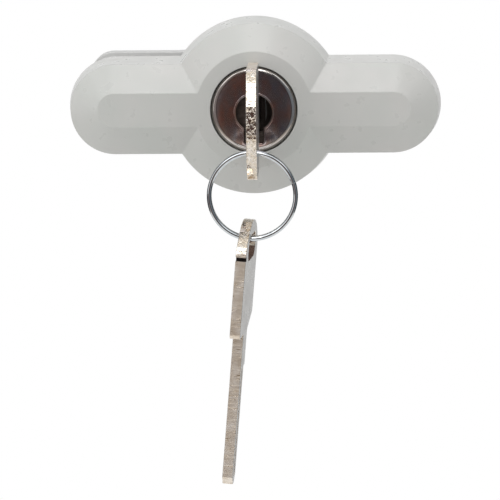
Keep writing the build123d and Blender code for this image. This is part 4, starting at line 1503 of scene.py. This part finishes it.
def room():
    """The world: a white backdrop to the camera, soft ambient light, and the room for the metal to mirror."""
    world = bpy.data.worlds.new("white_room")
    bpy.context.scene.world = world
    world.use_nodes = True
    tree = world.node_tree
    output = tree.nodes["World Output"]
    tree.nodes.remove(tree.nodes["Background"])
    way = add(tree, "ShaderNodeTexCoord").outputs["Generated"]
    axes = add(tree, "ShaderNodeSeparateXYZ", {}, {"Vector": way}).outputs

    # Unlit walls beside and overhead, and white behind
    from_walls = add(tree, "ShaderNodeMath", {"operation": "SUBTRACT", 1: wall_middle}, {0: axes["Y"]})
    beside = within(tree, from_walls.outputs[0], *wall_half_depth)
    white_to_dark = colour_mix | {6: linear("#ffffff"), 7: linear("#2e3235")}
    around = add(tree, "ShaderNodeMix", white_to_dark, {0: beside}).outputs[2]
    raised = add(tree, "ShaderNodeMath", {"operation": "MAXIMUM", 1: 0.0}, {0: axes["Z"]}).outputs[0]
    leaning = add(tree, "ShaderNodeMath", {"operation": "MULTIPLY_ADD", 1: front_lean},
                  {0: raised, 2: axes["Y"]})
    to_front = {1: front_start, 2: front_full, 3: 0.0, 4: 1.0}
    front_share = add(tree, "ShaderNodeMapRange", to_front, {0: leaning.outputs[0]}).outputs[0]
    front = room_in_front(tree, way, axes)
    seen = add(tree, "ShaderNodeMix", colour_mix, {0: front_share, 6: around, 7: front}).outputs[2]

    path = add(tree, "ShaderNodeLightPath").outputs
    gloss = add(tree, "ShaderNodeBackground", {"Strength": 1.0}, {"Color": seen})
    white = add(tree, "ShaderNodeBackground", {"Color": linear("#ffffff"), "Strength": 1.0})
    ambient = add(tree, "ShaderNodeBackground", {"Color": linear("#ffffff"), "Strength": ambient_strength})
    direct = add(tree, "ShaderNodeMath", {"operation": "MAXIMUM"},
                 {0: path["Is Camera Ray"], 1: path["Is Transmission Ray"]}).outputs[0]
    lit = add(tree, "ShaderNodeMixShader", {},
              {0: path["Is Glossy Ray"], 1: ambient.outputs[0], 2: gloss.outputs[0]}).outputs[0]
    both = add(tree, "ShaderNodeMixShader", {}, {0: direct, 1: lit, 2: white.outputs[0]})
    tree.links.new(both.outputs[0], output.inputs["Surface"])


# The floor, in metres, well below the hanging key; it fades into the white backdrop outwards
floor_z = -0.3
floor_r = 0.55
floor_sides = 96
floor_roughness = 0.9
fade_start = 0.1
fade_end = 0.495
glow_inside = 0.6


def floor_finish():
    """Pale matt floor, lit up towards its edge so that it ends in the backdrop without a line."""
    material = bpy.data.materials.new("white_floor")
    material.use_nodes = True
    tree = material.node_tree
    output = tree.nodes["Material Output"]
    shader = tree.nodes["Principled BSDF"]
    shader.inputs["Base Color"].default_value = linear("#f2f2f0")
    shader.inputs["Roughness"].default_value = floor_roughness
    glow = add(tree, "ShaderNodeEmission", {"Color": linear("#ffffff"), "Strength": 1.0})
    place = add(tree, "ShaderNodeTexCoord").outputs["Object"]
    out = add(tree, "ShaderNodeVectorMath", {"operation": "LENGTH"}, {0: place}).outputs["Value"]
    fading = {1: fade_start, 2: fade_end, 3: glow_inside, 4: 1.0}
    fade = add(tree, "ShaderNodeMapRange", fading, {0: out}).outputs[0]
    path = add(tree, "ShaderNodeLightPath").outputs
    seen = add(tree, "ShaderNodeMath", {"operation": "MAXIMUM"},
               {0: path["Is Camera Ray"], 1: path["Is Glossy Ray"]}).outputs[0]
    share = add(tree, "ShaderNodeMath", {"operation": "MULTIPLY"}, {0: fade, 1: seen}).outputs[0]
    mix = add(tree, "ShaderNodeMixShader", {}, {0: share, 1: shader.outputs[0], 2: glow.outputs[0]})
    tree.links.new(mix.outputs[0], output.inputs["Surface"])
    return material


def studio():
    """Soft lights, a white room and a pale floor."""
    for light in soft_lights:
        soft_light(*light)
    room()
    mesh = bmesh.new()
    bmesh.ops.create_circle(mesh, cap_ends=True, radius=floor_r, segments=floor_sides)
    data = bpy.data.meshes.new("floor")
    mesh.to_mesh(data)
    mesh.free()
    floor = bpy.data.objects.new("floor", data)
    bpy.context.scene.collection.objects.link(floor)
    floor.location = (0, 0, floor_z)
    data.materials.append(floor_finish())


camera()
studio()
bpy.context.scene.view_settings.view_transform = "Standard"
